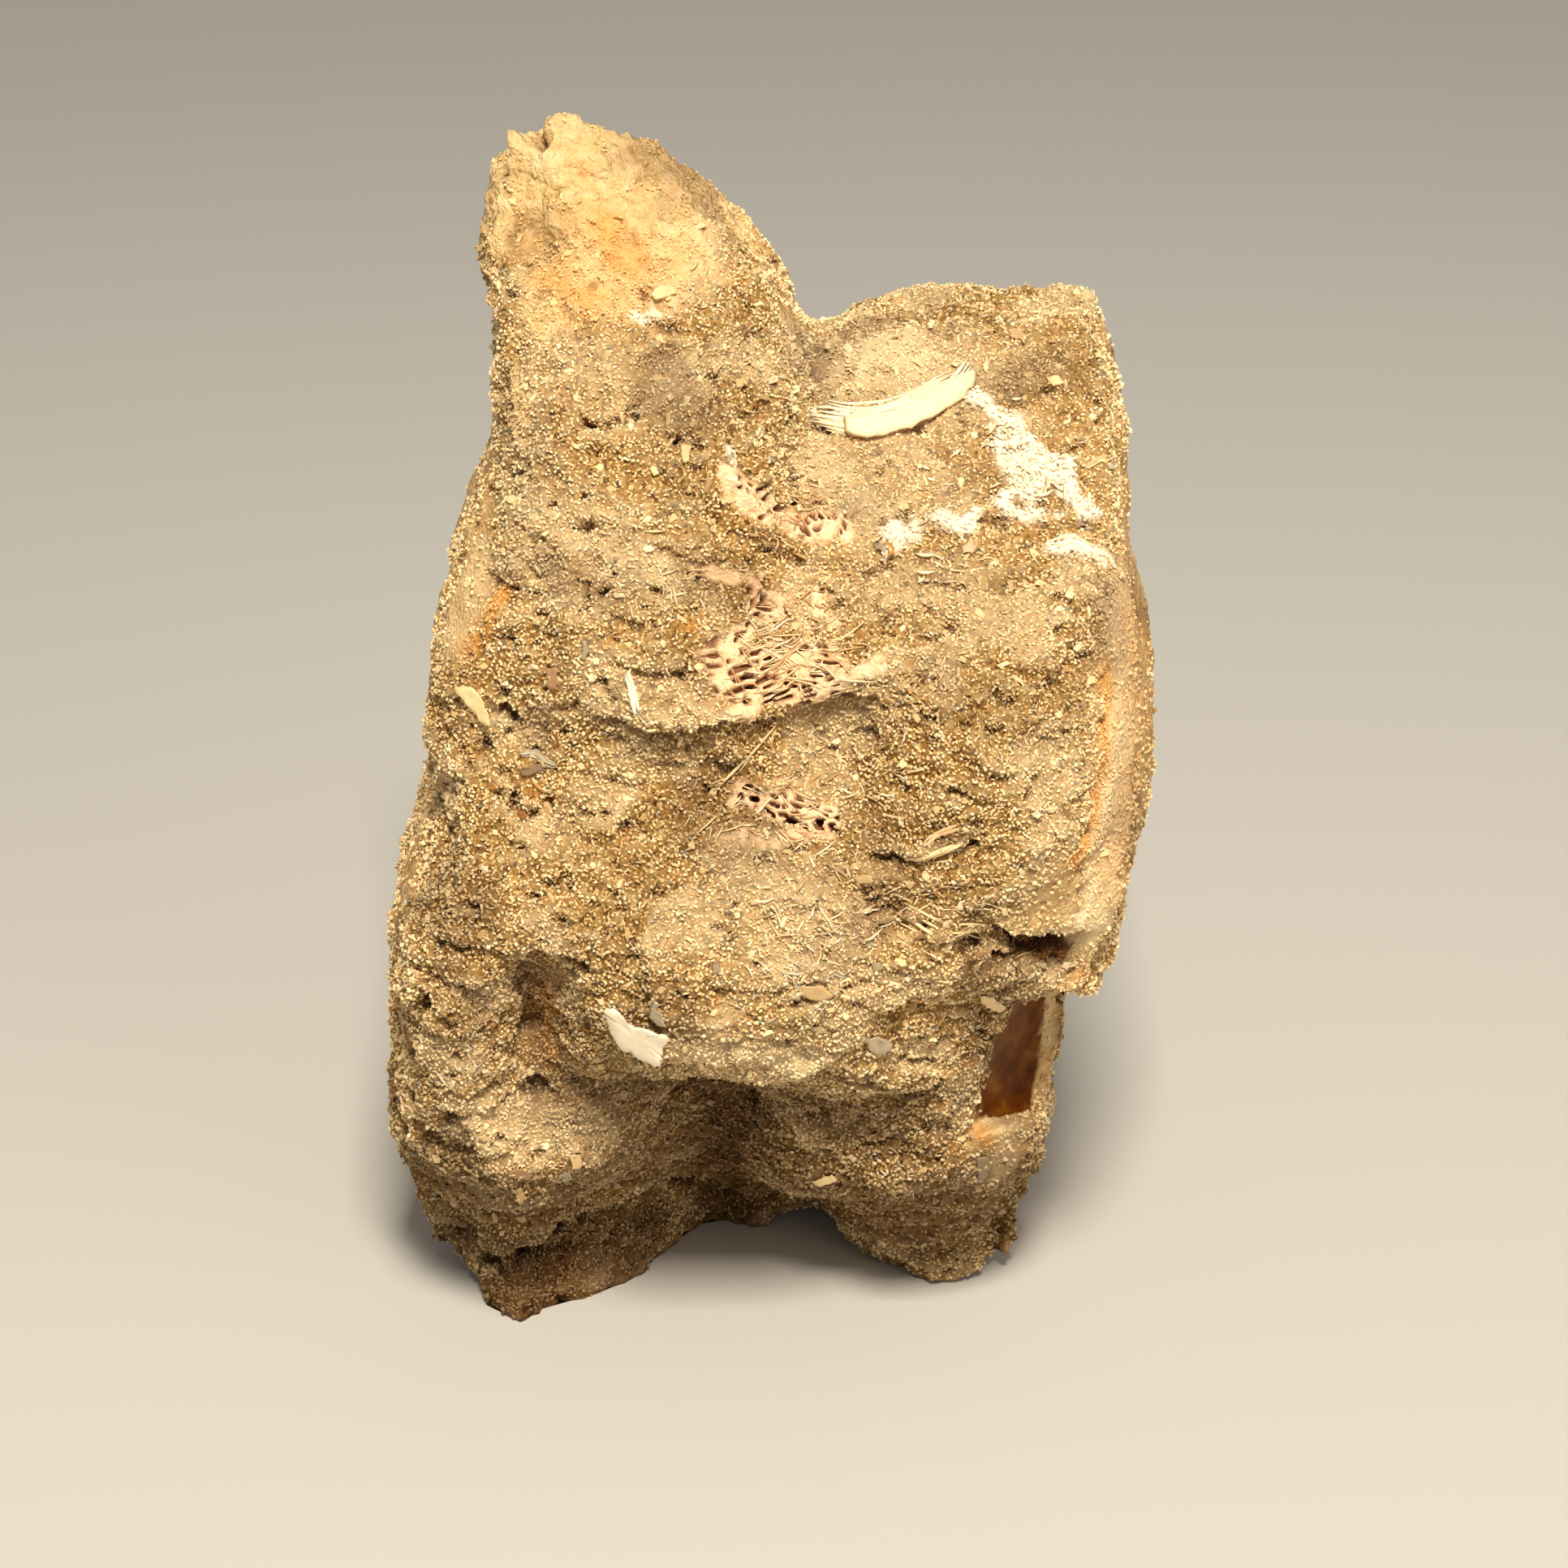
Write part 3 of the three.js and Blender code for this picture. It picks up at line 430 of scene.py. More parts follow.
# How the finishes lie: from, to, half width and strength. Crust is the cream one of the spire, skin
# the weathered outer bone, chalk the white crumbly bands and spongy the pink inner bone. Rust and ash
# are stains, orange iron and grey. Pale is light sand and also painted light on lit faces. The dark
# brown marks are partly dark brown stain and mostly painted shade on the feet and under broken edges.
FINISHES = {
    "crust": [
        ([-12.6, 79.0], [-10.4, 74.8], 5.0, 1.0), ([-12.6, 76.4], [-8.6, 72.4], 3.2, 1.0),
        ([-7.0, 76.4], [-6.0, 73.6], 3.4, 1.0), ([-15.4, 76.6], [-14.6, 77.8], 2.0, 1.0),
        ([-14.6, 69.4], [-12.0, 71.4], 1.6, 0.75), ([-12.0, 0.6, 79.6], [-1.6, 3.0, 72.6], 2.6, 1.0),
        ([-16.9, -1.5, 76.4], [-17.0, -3.2, 70.4], 1.6, 1.0), ([-15.2, 66.4], [-15.4, 64.8], 1.5, 0.7),
        ([-13.0, 2.6, 79.6], [-7.0, 4.0, 76.4], 4.0, 1.0),
        ([-16.2, 1.5, 77.0], [-16.8, 1.0, 71.4], 2.8, 1.0),
        ([-4.9, -1.0, 74.5], [-3.4, -1.0, 71.4], 1.8, 0.7),
        ([-14.0, 6.0, 78.0], [-8.0, 7.0, 75.0], 4.0, 0.9),
    ],
    "skin": [
        ([21.8, -13.6, 53.0], [21.0, -17.0, 36.0], 2.4, 1.0),
        ([22.6, -9.0, 53.0], [22.0, -12.0, 36.0], 3.4, 1.0),
        ([23.4, -2.0, 54.0], [22.6, -2.0, 34.0], 7.5, 1.0),
        ([-18.2, -9.4, 58.4], [-19.2, -12.4, 51.4], 1.9, 1.0),
        ([-20.2, -4.0, 58.0], [-21.0, -6.0, 50.0], 3.6, 0.9),
        ([18.9, -7.8, 25.5], [18.2, -8.6, 17.4], 1.7, 1.0),
        ([17.3, -20.2, 37.8], [20.2, -17.2, 33.6], 2.4, 1.0),
        ([14.0, -14.5, 17.0], [16.0, -13.0, 13.4], 2.0, 1.2),
    ],
    "chalk": [
        ([12.4, 63.8], [14.9, 61.4], 0.95, 1.0), ([14.4, 62.4], [15.2, 59.8], 1.3, 1.0),
        ([15.6, 61.0], [18.8, 58.6], 1.1, 1.0), ([13.6, 59.2], [17.0, 58.4], 0.8, 0.8),
        ([7.2, 57.8], [11.8, 58.5], 0.95, 1.0), ([6.8, 57.0], [7.6, 57.4], 0.5, 0.9),
        ([2.7, 62.7], [6.9, 62.6], 0.5, 0.8), ([16.4, 57.3], [20.4, 55.8], 0.5, 0.9),
        ([-7.6, 70.6], [-6.4, 71.3], 0.5, 0.8), ([-2.6, 62.6], [-2.0, 61.8], 0.4, 0.8),
    ],
    "spongy": [
        ([-2.2, 52.6], [2.4, 50.4], 1.7, 1.0), ([-1.7, 49.5], [2.0, 49.9], 0.8, 1.0),
        ([2.4, 50.4], [6.5, 52.0], 0.7, 1.0), ([-4.1, 57.2], [-0.3, 55.0], 0.7, 0.7),
        ([-0.3, 55.2], [1.8, 52.8], 0.7, 0.8), ([-2.2, 61.4], [3.8, 57.2], 1.0, 1.0),
        ([-1.8, 43.1], [3.9, 42.2], 0.8, 1.0), ([-2.6, 41.0], [3.0, 41.4], 0.9, 0.55),
        ([3.2, 54.0], [4.0, 53.6], 0.8, 0.7),
    ],
    # Pale: light sand in places, and painted light where the marks brighten the lit tops of the shoulder and
    # neck, the right band, the belly and the left foot.
    "pale": [
        ([4.0, 65.4], [9.0, 63.6], 3.0, 0.7), ([3.4, -2.0, 66.0], [13.0, -2.0, 66.6], 3.0, 1.0),
        ([-15.0, 65.6], [-15.4, 63.0], 2.4, 0.5), ([-1.0, 39.0], [4.0, 36.4], 2.6, 0.6),
        ([0.0, 35.4], [4.0, 33.0], 2.6, 0.55), ([5.0, 59.6], [10.0, 60.2], 2.6, 0.35),
        ([-6.4, 50.6], [-4.4, 49.4], 1.8, 0.4), ([6.0, 55.6], [12.0, 55.6], 2.2, 0.4),
        ([19.8, -17.4, 47.6], [20.6, -17.0, 37.0], 0.9, 0.8), ([17.6, 47.0], [15.4, 38.0], 2.0, 0.35),
        ([21.8, -12.0, 53.0], [20.4, -17.2, 41.6], 2.8, 1.2),
        ([21.4, -16.4, 41.6], [19.8, -17.8, 34.0], 2.4, 1.0),
        ([20.6, -16.8, 46.4], [18.8, -18.7, 35.0], 0.6, 2.0),
        ([15.4, -14.0, 16.6], [15.0, -13.6, 14.0], 1.5, 0.9), ([-15.0, 60.0], [-7.0, 57.4], 2.4, 0.6),
        ([2.4, 61.0], [6.3, 58.4], 2.2, 0.8), ([-13.0, 68.4], [-6.0, 66.6], 2.6, 0.4),
        ([4.0, 63.4], [12.0, 63.0], 2.0, 0.5), ([-5.0, 28.2], [2.0, 26.4], 2.2, 0.9),
        ([-18.4, 19.4], [-11.6, 17.4], 2.6, 0.7),
    ],
    "rust": [
        ([-10.2, 75.0], [-8.4, 73.4], 1.7, 0.9), ([-12.8, 73.0], [-12.8, 73.0], 1.1, 0.6),
        ([-12.8, 72.2], [-10.6, 71.1], 1.2, 0.8), ([-11.2, 78.4], [-10.8, 77.6], 0.7, 0.7),
        ([-4.9, 72.8], [-4.9, 72.8], 1.0, 0.5), ([-16.9, 54.4], [-17.4, 53.0], 0.7, 1.0),
        ([-18.2, 51.8], [-18.0, 51.0], 0.9, 0.6), ([20.6, -15.4, 50.4], [20.0, -17.2, 45.6], 0.9, 1.2),
        ([20.0, -17.2, 45.6], [18.6, -19.9, 39.9], 0.8, 1.2),
        ([22.2, -11.0, 52.0], [20.8, -16.8, 38.0], 2.4, 0.5),
        ([18.2, -17.6, 30.4], [19.4, -15.6, 30.0], 0.6, 0.6),
        ([13.3, -14.6, 17.6], [14.0, -14.4, 16.2], 0.5, 1.3), ([-14.4, 29.8], [-14.0, 23.6], 0.9, 0.7),
        ([-17.1, 43.1], [-17.1, 43.1], 0.3, 1.0), ([-14.4, 42.6], [-14.4, 42.6], 0.5, 0.8),
        ([-5.2, 54.0], [-4.8, 53.8], 0.35, 1.0), ([22.4, -7.0, 46.0], [22.0, -4.0, 38.0], 2.2, 0.5),
        ([0.6, 50.8], [1.4, 50.4], 0.5, 0.4), ([3.4, 37.6], [3.8, 37.4], 0.3, 0.7),
    ],
    "ash": [
        ([-6.0, 65.6], [1.0, 63.8], 2.0, 0.35), ([-15.4, 74.0], [-15.0, 73.0], 1.2, 0.7),
        ([-15.4, 57.2], [-15.4, 56.8], 0.9, 1.0), ([-9.4, 57.0], [-5.4, 56.2], 1.4, 0.4),
        # The mark along the underside of the fold, from x -10 to 6, is painted shadow under the fold.
        ([-12.6, 52.4], [-12.4, 52.0], 1.0, 0.6), ([-10.0, 47.0], [6.0, 47.6], 1.8, 0.45),
        ([6.4, 50.4], [9.0, 49.6], 1.4, 0.6), ([6.4, 43.2], [11.4, 43.0], 1.5, 0.4),
        ([-20.2, 29.0], [-20.4, 17.0], 1.9, 0.45), ([13.4, 54.4], [12.2, 47.0], 1.2, 0.3),
        ([17.0, 66.0], [18.6, 66.0], 1.2, 0.4), ([-6.2, 53.6], [-3.4, 52.4], 0.7, 0.5),
    ],
    # Dark brown: a little is dark brown stain, most is painted shade on the feet, in the lower hollows,
    # under the arch and under broken edges.
    "umber": [
        ([-13.0, 21.0], [-3.0, 18.6], 3.2, 0.7), ([-14.6, 31.0], [-12.8, 23.4], 1.9, 0.55),
        ([-3.4, 18.0], [-2.6, 2.0], 4.6, 0.95), ([-22.0, 4.2], [-8.0, 3.0], 3.0, 0.8),
        ([-14.0, 2.0], [-18.0, 1.0], 4.6, 1.0), ([-18.0, -9.6, 3.0], [-10.0, -5.0, 1.6], 4.6, 0.95),
        ([4.0, 12.0], [11.0, 3.0], 3.6, 0.65), ([-19.8, 32.8], [-17.6, 26.6], 2.0, 0.4),
        ([1.6, 18.6], [9.0, 16.6], 2.4, 0.7), ([12.4, 33.0], [15.2, 33.2], 1.0, 1.0),
        ([15.4, 33.4], [18.6, -18.6, 32.6], 1.1, 1.7), ([-22.4, 27.0], [-22.0, 15.0], 0.9, 0.6),
        ([-15.2, 47.2], [-14.0, 45.6], 0.8, 0.6), ([9.4, 42.0], [10.6, 43.0], 0.7, 0.6),
        ([-9.8, 27.0], [-5.0, 25.0], 1.0, 0.6),
    ],
}

# The flat amber bone face in the lower right corner, as x and height seen from a little above,
# and how far up its foot lies.
FACET_OUTLINE = [
    (14.7, 18.3), (17.9, 18.3), (17.8, 16.4), (17.3, 13.0), (16.8, 10.6), (13.1, 10.2), (13.6, 12.3),
    (14.3, 15.0),
]
FACET_VIEW = math.radians(26)
FACET_FOOT = 17.0

# Hues that the loose and broken bone runs through, from cold to warm.
GREY, WHITE, CREAM, PINKISH, ORANGE = 0.0, 0.25, 0.5, 0.75, 1.0

# Bundles of bone fibre. Each path is followed by this many strands, laid side by side.
BUNDLES = {
    "shoulder splinter": {
        "path": [[2.5, 62.7], [5.0, 62.4], [6.9, 62.6], [9.6, 63.3], [12.4, 64.1]],
        "strands": 16, "spread": 0.62, "thick": 0.13, "lift": 0.3, "hue": 0.32,
    },
    "splinter's feathered tip": {
        "path": [[10.4, 63.0], [11.6, 63.8], [12.6, 64.6]],
        "strands": 5, "spread": 0.55, "thick": 0.1, "lift": 0.5, "hue": WHITE,
    },
    "thin splinter": {
        "path": [[19.0, 60.2], [20.2, 60.3], [21.2, 60.0]],
        "strands": 2, "spread": 0.12, "thick": 0.12, "lift": 0.15, "hue": CREAM,
    },
    "needle of the valley": {
        "path": [[-3.6, 43.5], [-1.6, 45.4], [0.4, 47.5]],
        "strands": 1, "spread": 0.0, "thick": 0.12, "lift": 0.2, "hue": CREAM,
    },
    "lath of the belly": {
        "path": [[8.0, 40.6], [9.8, 41.5], [11.7, 42.4]],
        "strands": 3, "spread": 0.2, "thick": 0.16, "lift": 0.25, "hue": CREAM,
    },
    "second lath": {
        "path": [[9.1, 41.9], [10.2, 42.7], [11.4, 43.4]],
        "strands": 2, "spread": 0.15, "thick": 0.12, "lift": 0.2, "hue": PINKISH,
    },
    "laths under the fold": {
        "path": [[7.4, 37.4], [10.4, 36.0], [13.6, 34.9]],
        "strands": 4, "spread": 0.9, "thick": 0.1, "lift": 0.12, "hue": CREAM,
    },
    "upright lath": {
        "path": [[-8.6, 51.6], [-8.2, 50.2], [-7.9, 48.9]],
        "strands": 2, "spread": 0.22, "thick": 0.17, "lift": 0.25, "hue": WHITE,
    },
    "grey lath": {
        "path": [[-15.4, 45.0], [-14.2, 44.9], [-12.8, 44.6]],
        "strands": 3, "spread": 0.22, "thick": 0.15, "lift": 0.25, "hue": GREY,
    },
    "stick in the pit": {
        "path": [[-14.6, 43.6], [-13.7, 42.8]],
        "strands": 1, "spread": 0.0, "thick": 0.13, "lift": 0.2, "hue": ORANGE,
    },
    "ridge beside the shoulder": {
        "path": [[16.4, 57.2], [18.2, 57.3], [20.0, 56.2], [21.2, 54.6]],
        "strands": 3, "spread": 0.3, "thick": 0.18, "lift": 0.1, "hue": WHITE,
    },
}

# Loose fibres: the middle of where they lie, how far round it, their direction and its spread in
# degrees, how many, their length, half width and hue.
FIBRES = [
    ([-2.2, 53.0], 1.8, -28, 8, 16, 1.7, 0.04, PINKISH),
    ([-1.8, 53.1], 1.0, -20, 8, 16, 3.0, 0.045, CREAM),
    ([-1.2, 51.8], 1.2, 2, 8, 22, 3.2, 0.045, CREAM),
    ([-0.8, 50.3], 1.0, 14, 8, 18, 3.2, 0.045, PINKISH),
    ([2.4, 51.4], 1.1, 11, 9, 18, 2.8, 0.045, CREAM),
    ([0.6, 59.2], 1.4, -42, 9, 18, 1.9, 0.04, PINKISH),
    ([0.8, 42.6], 1.6, -12, 9, 18, 2.0, 0.04, PINKISH),
    ([-2.2, 49.8], 2.2, -15, 14, 14, 1.6, 0.04, CREAM),
    ([1.4, 36.7], 4.6, -12, 38, 58, 1.9, 0.044, CREAM),
    ([2.4, 37.1], 3.0, 20, 50, 26, 1.2, 0.04, WHITE), ([2.2, 32.3], 4.0, -18, 35, 39, 1.5, 0.044, GREY),
    ([9.7, 38.1], 3.2, 12, 22, 28, 1.8, 0.04, CREAM),
    ([-6.3, 56.9], 2.6, -32, 30, 16, 1.5, 0.04, CREAM),
    ([-8.5, 50.2], 2.2, -62, 25, 11, 1.6, 0.04, GREY), ([5.3, 44.5], 3.0, 18, 30, 22, 1.5, 0.04, CREAM),
    ([-4.0, 42.1], 2.4, 38, 20, 14, 2.0, 0.04, CREAM),
    ([14.3, 61.0], 2.6, 25, 40, 39, 1.2, 0.064, WHITE),
    ([9.7, 57.9], 2.6, 4, 22, 29, 1.2, 0.064, WHITE),
    ([16.9, 59.3], 1.8, 10, 40, 16, 1.1, 0.056, WHITE),
    ([-19.3, 25.7], 2.8, -60, 50, 16, 1.2, 0.048, GREY),
    ([-13.2, 27.3], 2.2, -35, 35, 14, 1.5, 0.04, ORANGE),
    ([0.4, 58.5], 2.2, -40, 16, 19, 1.3, 0.048, PINKISH),
    ([2.9, 54.5], 2.0, 10, 24, 16, 1.0, 0.048, PINKISH),
    ([8.6, 51.3], 2.0, 30, 60, 19, 0.9, 0.048, PINKISH),
    ([0.9, 42.6], 2.6, -14, 25, 23, 1.4, 0.044, PINKISH),
    ([-4.4, 70.5], 2.6, 20, 60, 14, 0.9, 0.048, CREAM),
    ([14.3, 33.7], 1.8, 60, 50, 15, 1.1, 0.048, PINKISH),
]

# Flakes and chips: the hue, how far it stands out, its tone or none for a random one, and the outline.
FLAKES = {
    "plate of the shoulder splinter": (0.4, 0.2, 0.5, [
        [4.4, 62.9], [5.9, 62.8], [7.4, 63.0], [8.9, 63.5], [10.4, 63.9], [11.7, 64.2], [12.6, 64.5],
        [12.7, 64.0], [12.0, 63.3], [10.4, 62.6], [8.4, 62.1], [6.6, 61.8], [5.2, 61.9], [4.4, 62.2],
    ]),
    "white flake": (WHITE, 0.9, 0.7, [
        [-10.3, 30.5], [-9.8, 30.9], [-9.4, 30.9], [-9.1, 30.5], [-8.9, 30.1], [-8.6, 29.9],
        [-8.3, 29.8], [-7.9, 29.9], [-7.2, 29.8], [-6.8, 29.5], [-6.5, 29.8], [-6.2, 29.6],
        [-6.3, 29.2], [-6.6, 28.7], [-6.6, 28.1], [-6.8, 26.9], [-7.2, 26.7], [-7.6, 26.9],
        [-8.3, 27.1], [-8.6, 27.6], [-8.9, 27.4], [-9.4, 27.7], [-9.8, 28.6], [-10.0, 29.5],
    ]),
    "small flake beside it": (0.1, 0.4, 0.4, [
        [-7.1, 32.4], [-6.8, 32.4], [-7.0, 31.9], [-6.6, 31.4], [-6.4, 31.1], [-6.5, 30.4],
        [-6.9, 30.2], [-7.4, 30.7], [-7.3, 31.4], [-7.2, 32.0],
    ]),
    "flake at the left edge": (CREAM, 0.3, None, [
        [-19.2, 49.0], [-18.0, 49.1], [-17.4, 48.3], [-16.9, 46.7], [-17.6, 46.9], [-18.4, 47.9],
        [-19.1, 48.5],
    ]),
    "upright pink chip": (PINKISH, 0.15, None, [
        [-13.5, 51.3], [-12.8, 51.6], [-12.7, 50.7], [-13.0, 50.0], [-13.4, 50.1],
    ]),
    "chip on the spire": (CREAM, 0.08, None, [
        [-7.3, 71.4], [-6.7, 71.9], [-5.9, 71.8], [-5.6, 71.5], [-6.2, 71.2], [-6.9, 71.1],
    ]),
    "bit beside the amber face": (CREAM, 0.17, None, [
        [12.8, 29.7], [13.6, 29.6], [14.6, 28.3], [14.2, 27.8], [13.0, 28.8],
    ]),
    "grey flake under the amber face": (GREY, 0.06, None, [
        [13.1, 15.7], [13.9, 15.6], [14.1, 14.2], [13.8, 12.7], [13.3, 13.3],
    ]),
    "pink flake of the left foot": (PINKISH, 0.15, None, [
        [-17.0, 15.9], [-16.1, 16.1], [-15.3, 15.3], [-15.6, 14.6], [-16.7, 15.3],
    ]),
    "white bit of the left foot": (CREAM, 0.08, None, [
        [-16.6, 13.8], [-16.1, 14.1], [-15.9, 12.8], [-16.4, 12.3],
    ]),
    "grey plate of the left foot": (GREY, 0.13, None, [
        [-13.7, 14.9], [-13.1, 14.8], [-13.0, 13.6], [-13.4, 13.2], [-13.8, 14.0],
    ]),
    "round grain of the left foot": (CREAM, 0.19, None, [
        [-13.0, 16.0], [-12.3, 15.8], [-12.2, 14.9], [-12.8, 14.8],
    ]),
    "upright lath of the left foot": (CREAM, 0.15, None, [
        [-12.4, 17.3], [-12.2, 17.2], [-12.1, 15.6], [-12.3, 15.5],
    ]),
    "cream grain of the left foot": (CREAM, 0.19, None, [
        [-18.7, 18.9], [-18.1, 19.0], [-17.7, 18.4], [-18.3, 18.4],
    ]),
    "round flake of the shoulder": (PINKISH, 0.13, None, [
        [11.4, 57.5], [12.0, 57.7], [12.3, 57.4], [11.9, 57.2], [11.4, 57.2],
    ]),
    "amber grain of the shoulder": (ORANGE, 0.17, None, [
        [6.9, 57.3], [7.3, 57.4], [7.4, 56.9], [7.0, 56.6],
    ]),
    "grey grain of the shoulder": (GREY, 0.17, None, [
        [6.1, 57.1], [6.7, 57.2], [6.8, 56.9], [6.3, 56.8],
    ]),
    "cream block": (CREAM, 0.08, None, [[-3.1, 60.8], [-2.3, 60.6], [-2.2, 60.2], [-3.0, 60.4]]),
    "white block": (CREAM, 0.08, None, [[-0.6, 57.6], [0.2, 57.3], [0.3, 56.8], [-0.3, 57.0]]),
    "white bit of the neck": (CREAM, 0.08, None, [
        [-5.4, 63.8], [-4.8, 63.8], [-4.8, 63.1], [-5.2, 63.0],
    ]),
    "grey grain of the left mass": (GREY, 0.15, None, [
        [-11.3, 53.3], [-10.9, 53.3], [-10.9, 52.4], [-11.2, 52.1],
    ]),
    "grey lath over the pit": (GREY, 0.17, None, [
        [-15.3, 44.1], [-14.6, 44.4], [-13.8, 44.7], [-13.8, 44.2], [-14.6, 43.8], [-15.2, 43.7],
    ]),
    "orange grain": (ORANGE, 0.19, None, [[-17.3, 43.3], [-16.9, 43.4], [-16.7, 43.0], [-17.1, 42.7]]),
    "yellow grain in the pit": (ORANGE, 0.08, None, [
        [-15.5, 41.9], [-15.1, 42.0], [-14.8, 41.6], [-15.3, 41.4],
    ]),
    "second yellow grain in the pit": (ORANGE, 0.08, None, [
        [-14.8, 43.0], [-14.5, 43.0], [-14.4, 42.6], [-14.7, 42.5],
    ]),
    "shell flake of the belly": (CREAM, 0.08, None, [
        [1.7, 33.2], [2.9, 33.2], [3.8, 32.5], [3.0, 32.0], [1.9, 32.3],
    ]),
    "second shell flake of the belly": (CREAM, 0.08, None, [
        [2.5, 12.3], [3.9, 13.2], [4.3, 12.8], [3.1, 12.0],
    ]),
    "third shell flake of the belly": (CREAM, 0.08, None, [
        [4.8, 39.4], [5.7, 39.8], [6.2, 39.3], [5.3, 39.0],
    ]),
    "grey shell flake": (GREY, 0.08, None, [[-3.6, 34.4], [-3.2, 34.6], [-3.0, 34.1], [-3.5, 33.9]]),
    "thin shell flake": (CREAM, 0.08, None, [[2.3, 29.8], [3.2, 29.8], [3.6, 29.2], [2.8, 29.3]]),
    "blue-grey bit": (GREY, 0.13, None, [[6.0, 34.2], [6.6, 34.2], [6.7, 33.8], [6.2, 33.7]]),
    "lower shell flake": (0.12, 0.12, None, [
        [5.8, 27.6], [6.4, 27.9], [7.1, 27.5], [7.5, 26.6], [7.0, 26.2], [6.4, 26.2], [6.0, 26.8],
    ]),
    "pale bit of the neck": (CREAM, 0.13, None, [
        [-2.2, 66.5], [-1.6, 66.5], [-1.4, 66.0], [-2.1, 66.0],
    ]),
    "white bit of the shoulder": (CREAM, 0.08, None, [
        [16.9, 64.4], [17.6, 64.6], [18.0, 64.2], [17.3, 63.9],
    ]),
    "white bit over the splinter": (CREAM, 0.08, None, [
        [14.8, 65.8], [15.7, 65.8], [15.6, 66.2], [14.9, 66.2],
    ]),
}

# The stone's relief as lumps of noise: their size, how far they move the surface, and their seed.
ROCK_LUMPS = ((3.4, 0.38, 1), (1.7, 0.36, 2), (0.9, 0.27, 4), (0.5, 0.13, 5))
# Beds that break off at ragged steps: their size, the step down between them, and their seed.
ROCK_BEDS = ((5.2, 0.26, 41), (2.8, 0.14, 42))
CRUST_SCALES = ((1.9, 0.28, 8), (0.9, 0.24, 17), (0.5, 0.2, 18))
POCK_DEPTH = 0.6
SPONGY_LUMPS = ((0.7, 0.12, 19), (0.3, 0.05, 20))
# Chalky bands stand out by their own height, and their lumps.
CHALK_HEIGHT = 0.25
CHALK_LUMPS = ((0.9, 0.3, 23), (0.45, 0.2, 24))
# Marks of these finishes end at a ragged edge, between these two strengths.
RAGGED_LUMPS = ((1.3, 0.22, 25), (0.5, 0.14, 26))
RAGGED_FINISHES = (("crust", 0.2, 0.7), ("chalk", 0.34, 0.56), ("spongy", 0.34, 0.56))
# Stains that also lie in loose drifts: the drifts' size and seed.
DRIFTS = (("ash", 6, 51), ("pale", 5, 52), ("umber", 7, 53))
DRIFT_STRENGTH = 0.45
# How much sand sticks to the weathered bone seen from the front, how bare the underside is, and
# the share of sand below which no grain lies.
SAND_ON_BONE = 0.28
UNDERSIDE_BARE = 0.55
LEAST_SAND = 0.2
# Crumbs lie only where the chalk is thicker than this.
LEAST_CHALK = 0.3


class Stone:
    """The carved stone: its points, its triangles and how the finishes lie on it."""

    def __init__(self):
        self.points, self.faces = refined_stone()
        self.normals = normals_of(self.points, self.faces)
        self.tree = BVHTree.FromPolygons(self.points.tolist(), self.faces.tolist(), all_triangles=True)

    def place(self, spot):
        """The place of [x, z] on the front face, or [x, y, z] as it is."""
        if len(spot) == 3:
            return np.array(spot, float)
        return np.array(sighted(self.tree, spot))

    def near(self, points, spots, size, reach):
        """The points within reach of a line of spots, and how many half widths away they are."""
        places = [self.place(spot) for spot in spots]
        low, high = np.min(places, axis=0) - reach * size, np.max(places, axis=0) + reach * size
        here = np.flatnonzero(np.all((points > low) & (points < high), axis=1))
        pairs = list(zip(places, places[1:])) or [(places[0], places[0])]
        away = np.min([nearness(points[here], start, end)[0] for start, end in pairs], axis=0)
        return here, away / size


def cover(stone, points, marks):
    """How strongly a finish's marks cover each point, fading out round each line."""
    total = np.zeros(len(points))
    for start, end, size, strength in marks:
        here, away = stone.near(points, [start, end], size, 2.6)
        total[here] = np.maximum(total[here], strength * bell(away))
    return total


def carve(stone):
    """Broken-rock relief along the surface's own directions, and the finishes' masks."""
    points, normals = stone.points, stone.normals
    warp = np.stack([noise(points, 3.2, seed) for seed in (11, 12, 13)], axis=1)
    warp += 0.4 * np.stack([noise(points, 1.1, seed) for seed in (14, 15, 16)], axis=1)
    facing = smooth_step(-normals[:, 1], -0.15, 0.35)
    downward = smooth_step(-normals[:, 2], 0.05, 0.45) * (1 - smooth_step(points[:, 2], 18, 28))
    masks = finish_masks(stone, warp, facing, downward)
    height = rock_relief(points, warp, masks)
    carve_openings(stone, warp, masks, height)
    carve_edges(stone, warp, facing, height)
    height += masks["chalk"] * lumps(points, CHALK_LUMPS, CHALK_HEIGHT)
    stone.points = within_cad_box(points + normals * height[:, None])
    stone.points[points[:, 2] < FLOOR_TOUCH, 2] = 0

    # Depth into the hollows drives painted shade there; height on the crests lightens the crests.
    sunk = relaxed(stone.points, stone.faces, 0.8, HOLLOW_PASSES)
    depth = np.einsum("ij,ij->i", sunk - stone.points, normals)
    masks["hollow"] = smooth_step(depth, 0.02, 0.4)
    masks["crest"] = smooth_step(-depth, 0.02, 0.3)
    masks["sandy"] = sandy_share(points, masks, facing, downward)
    return masks


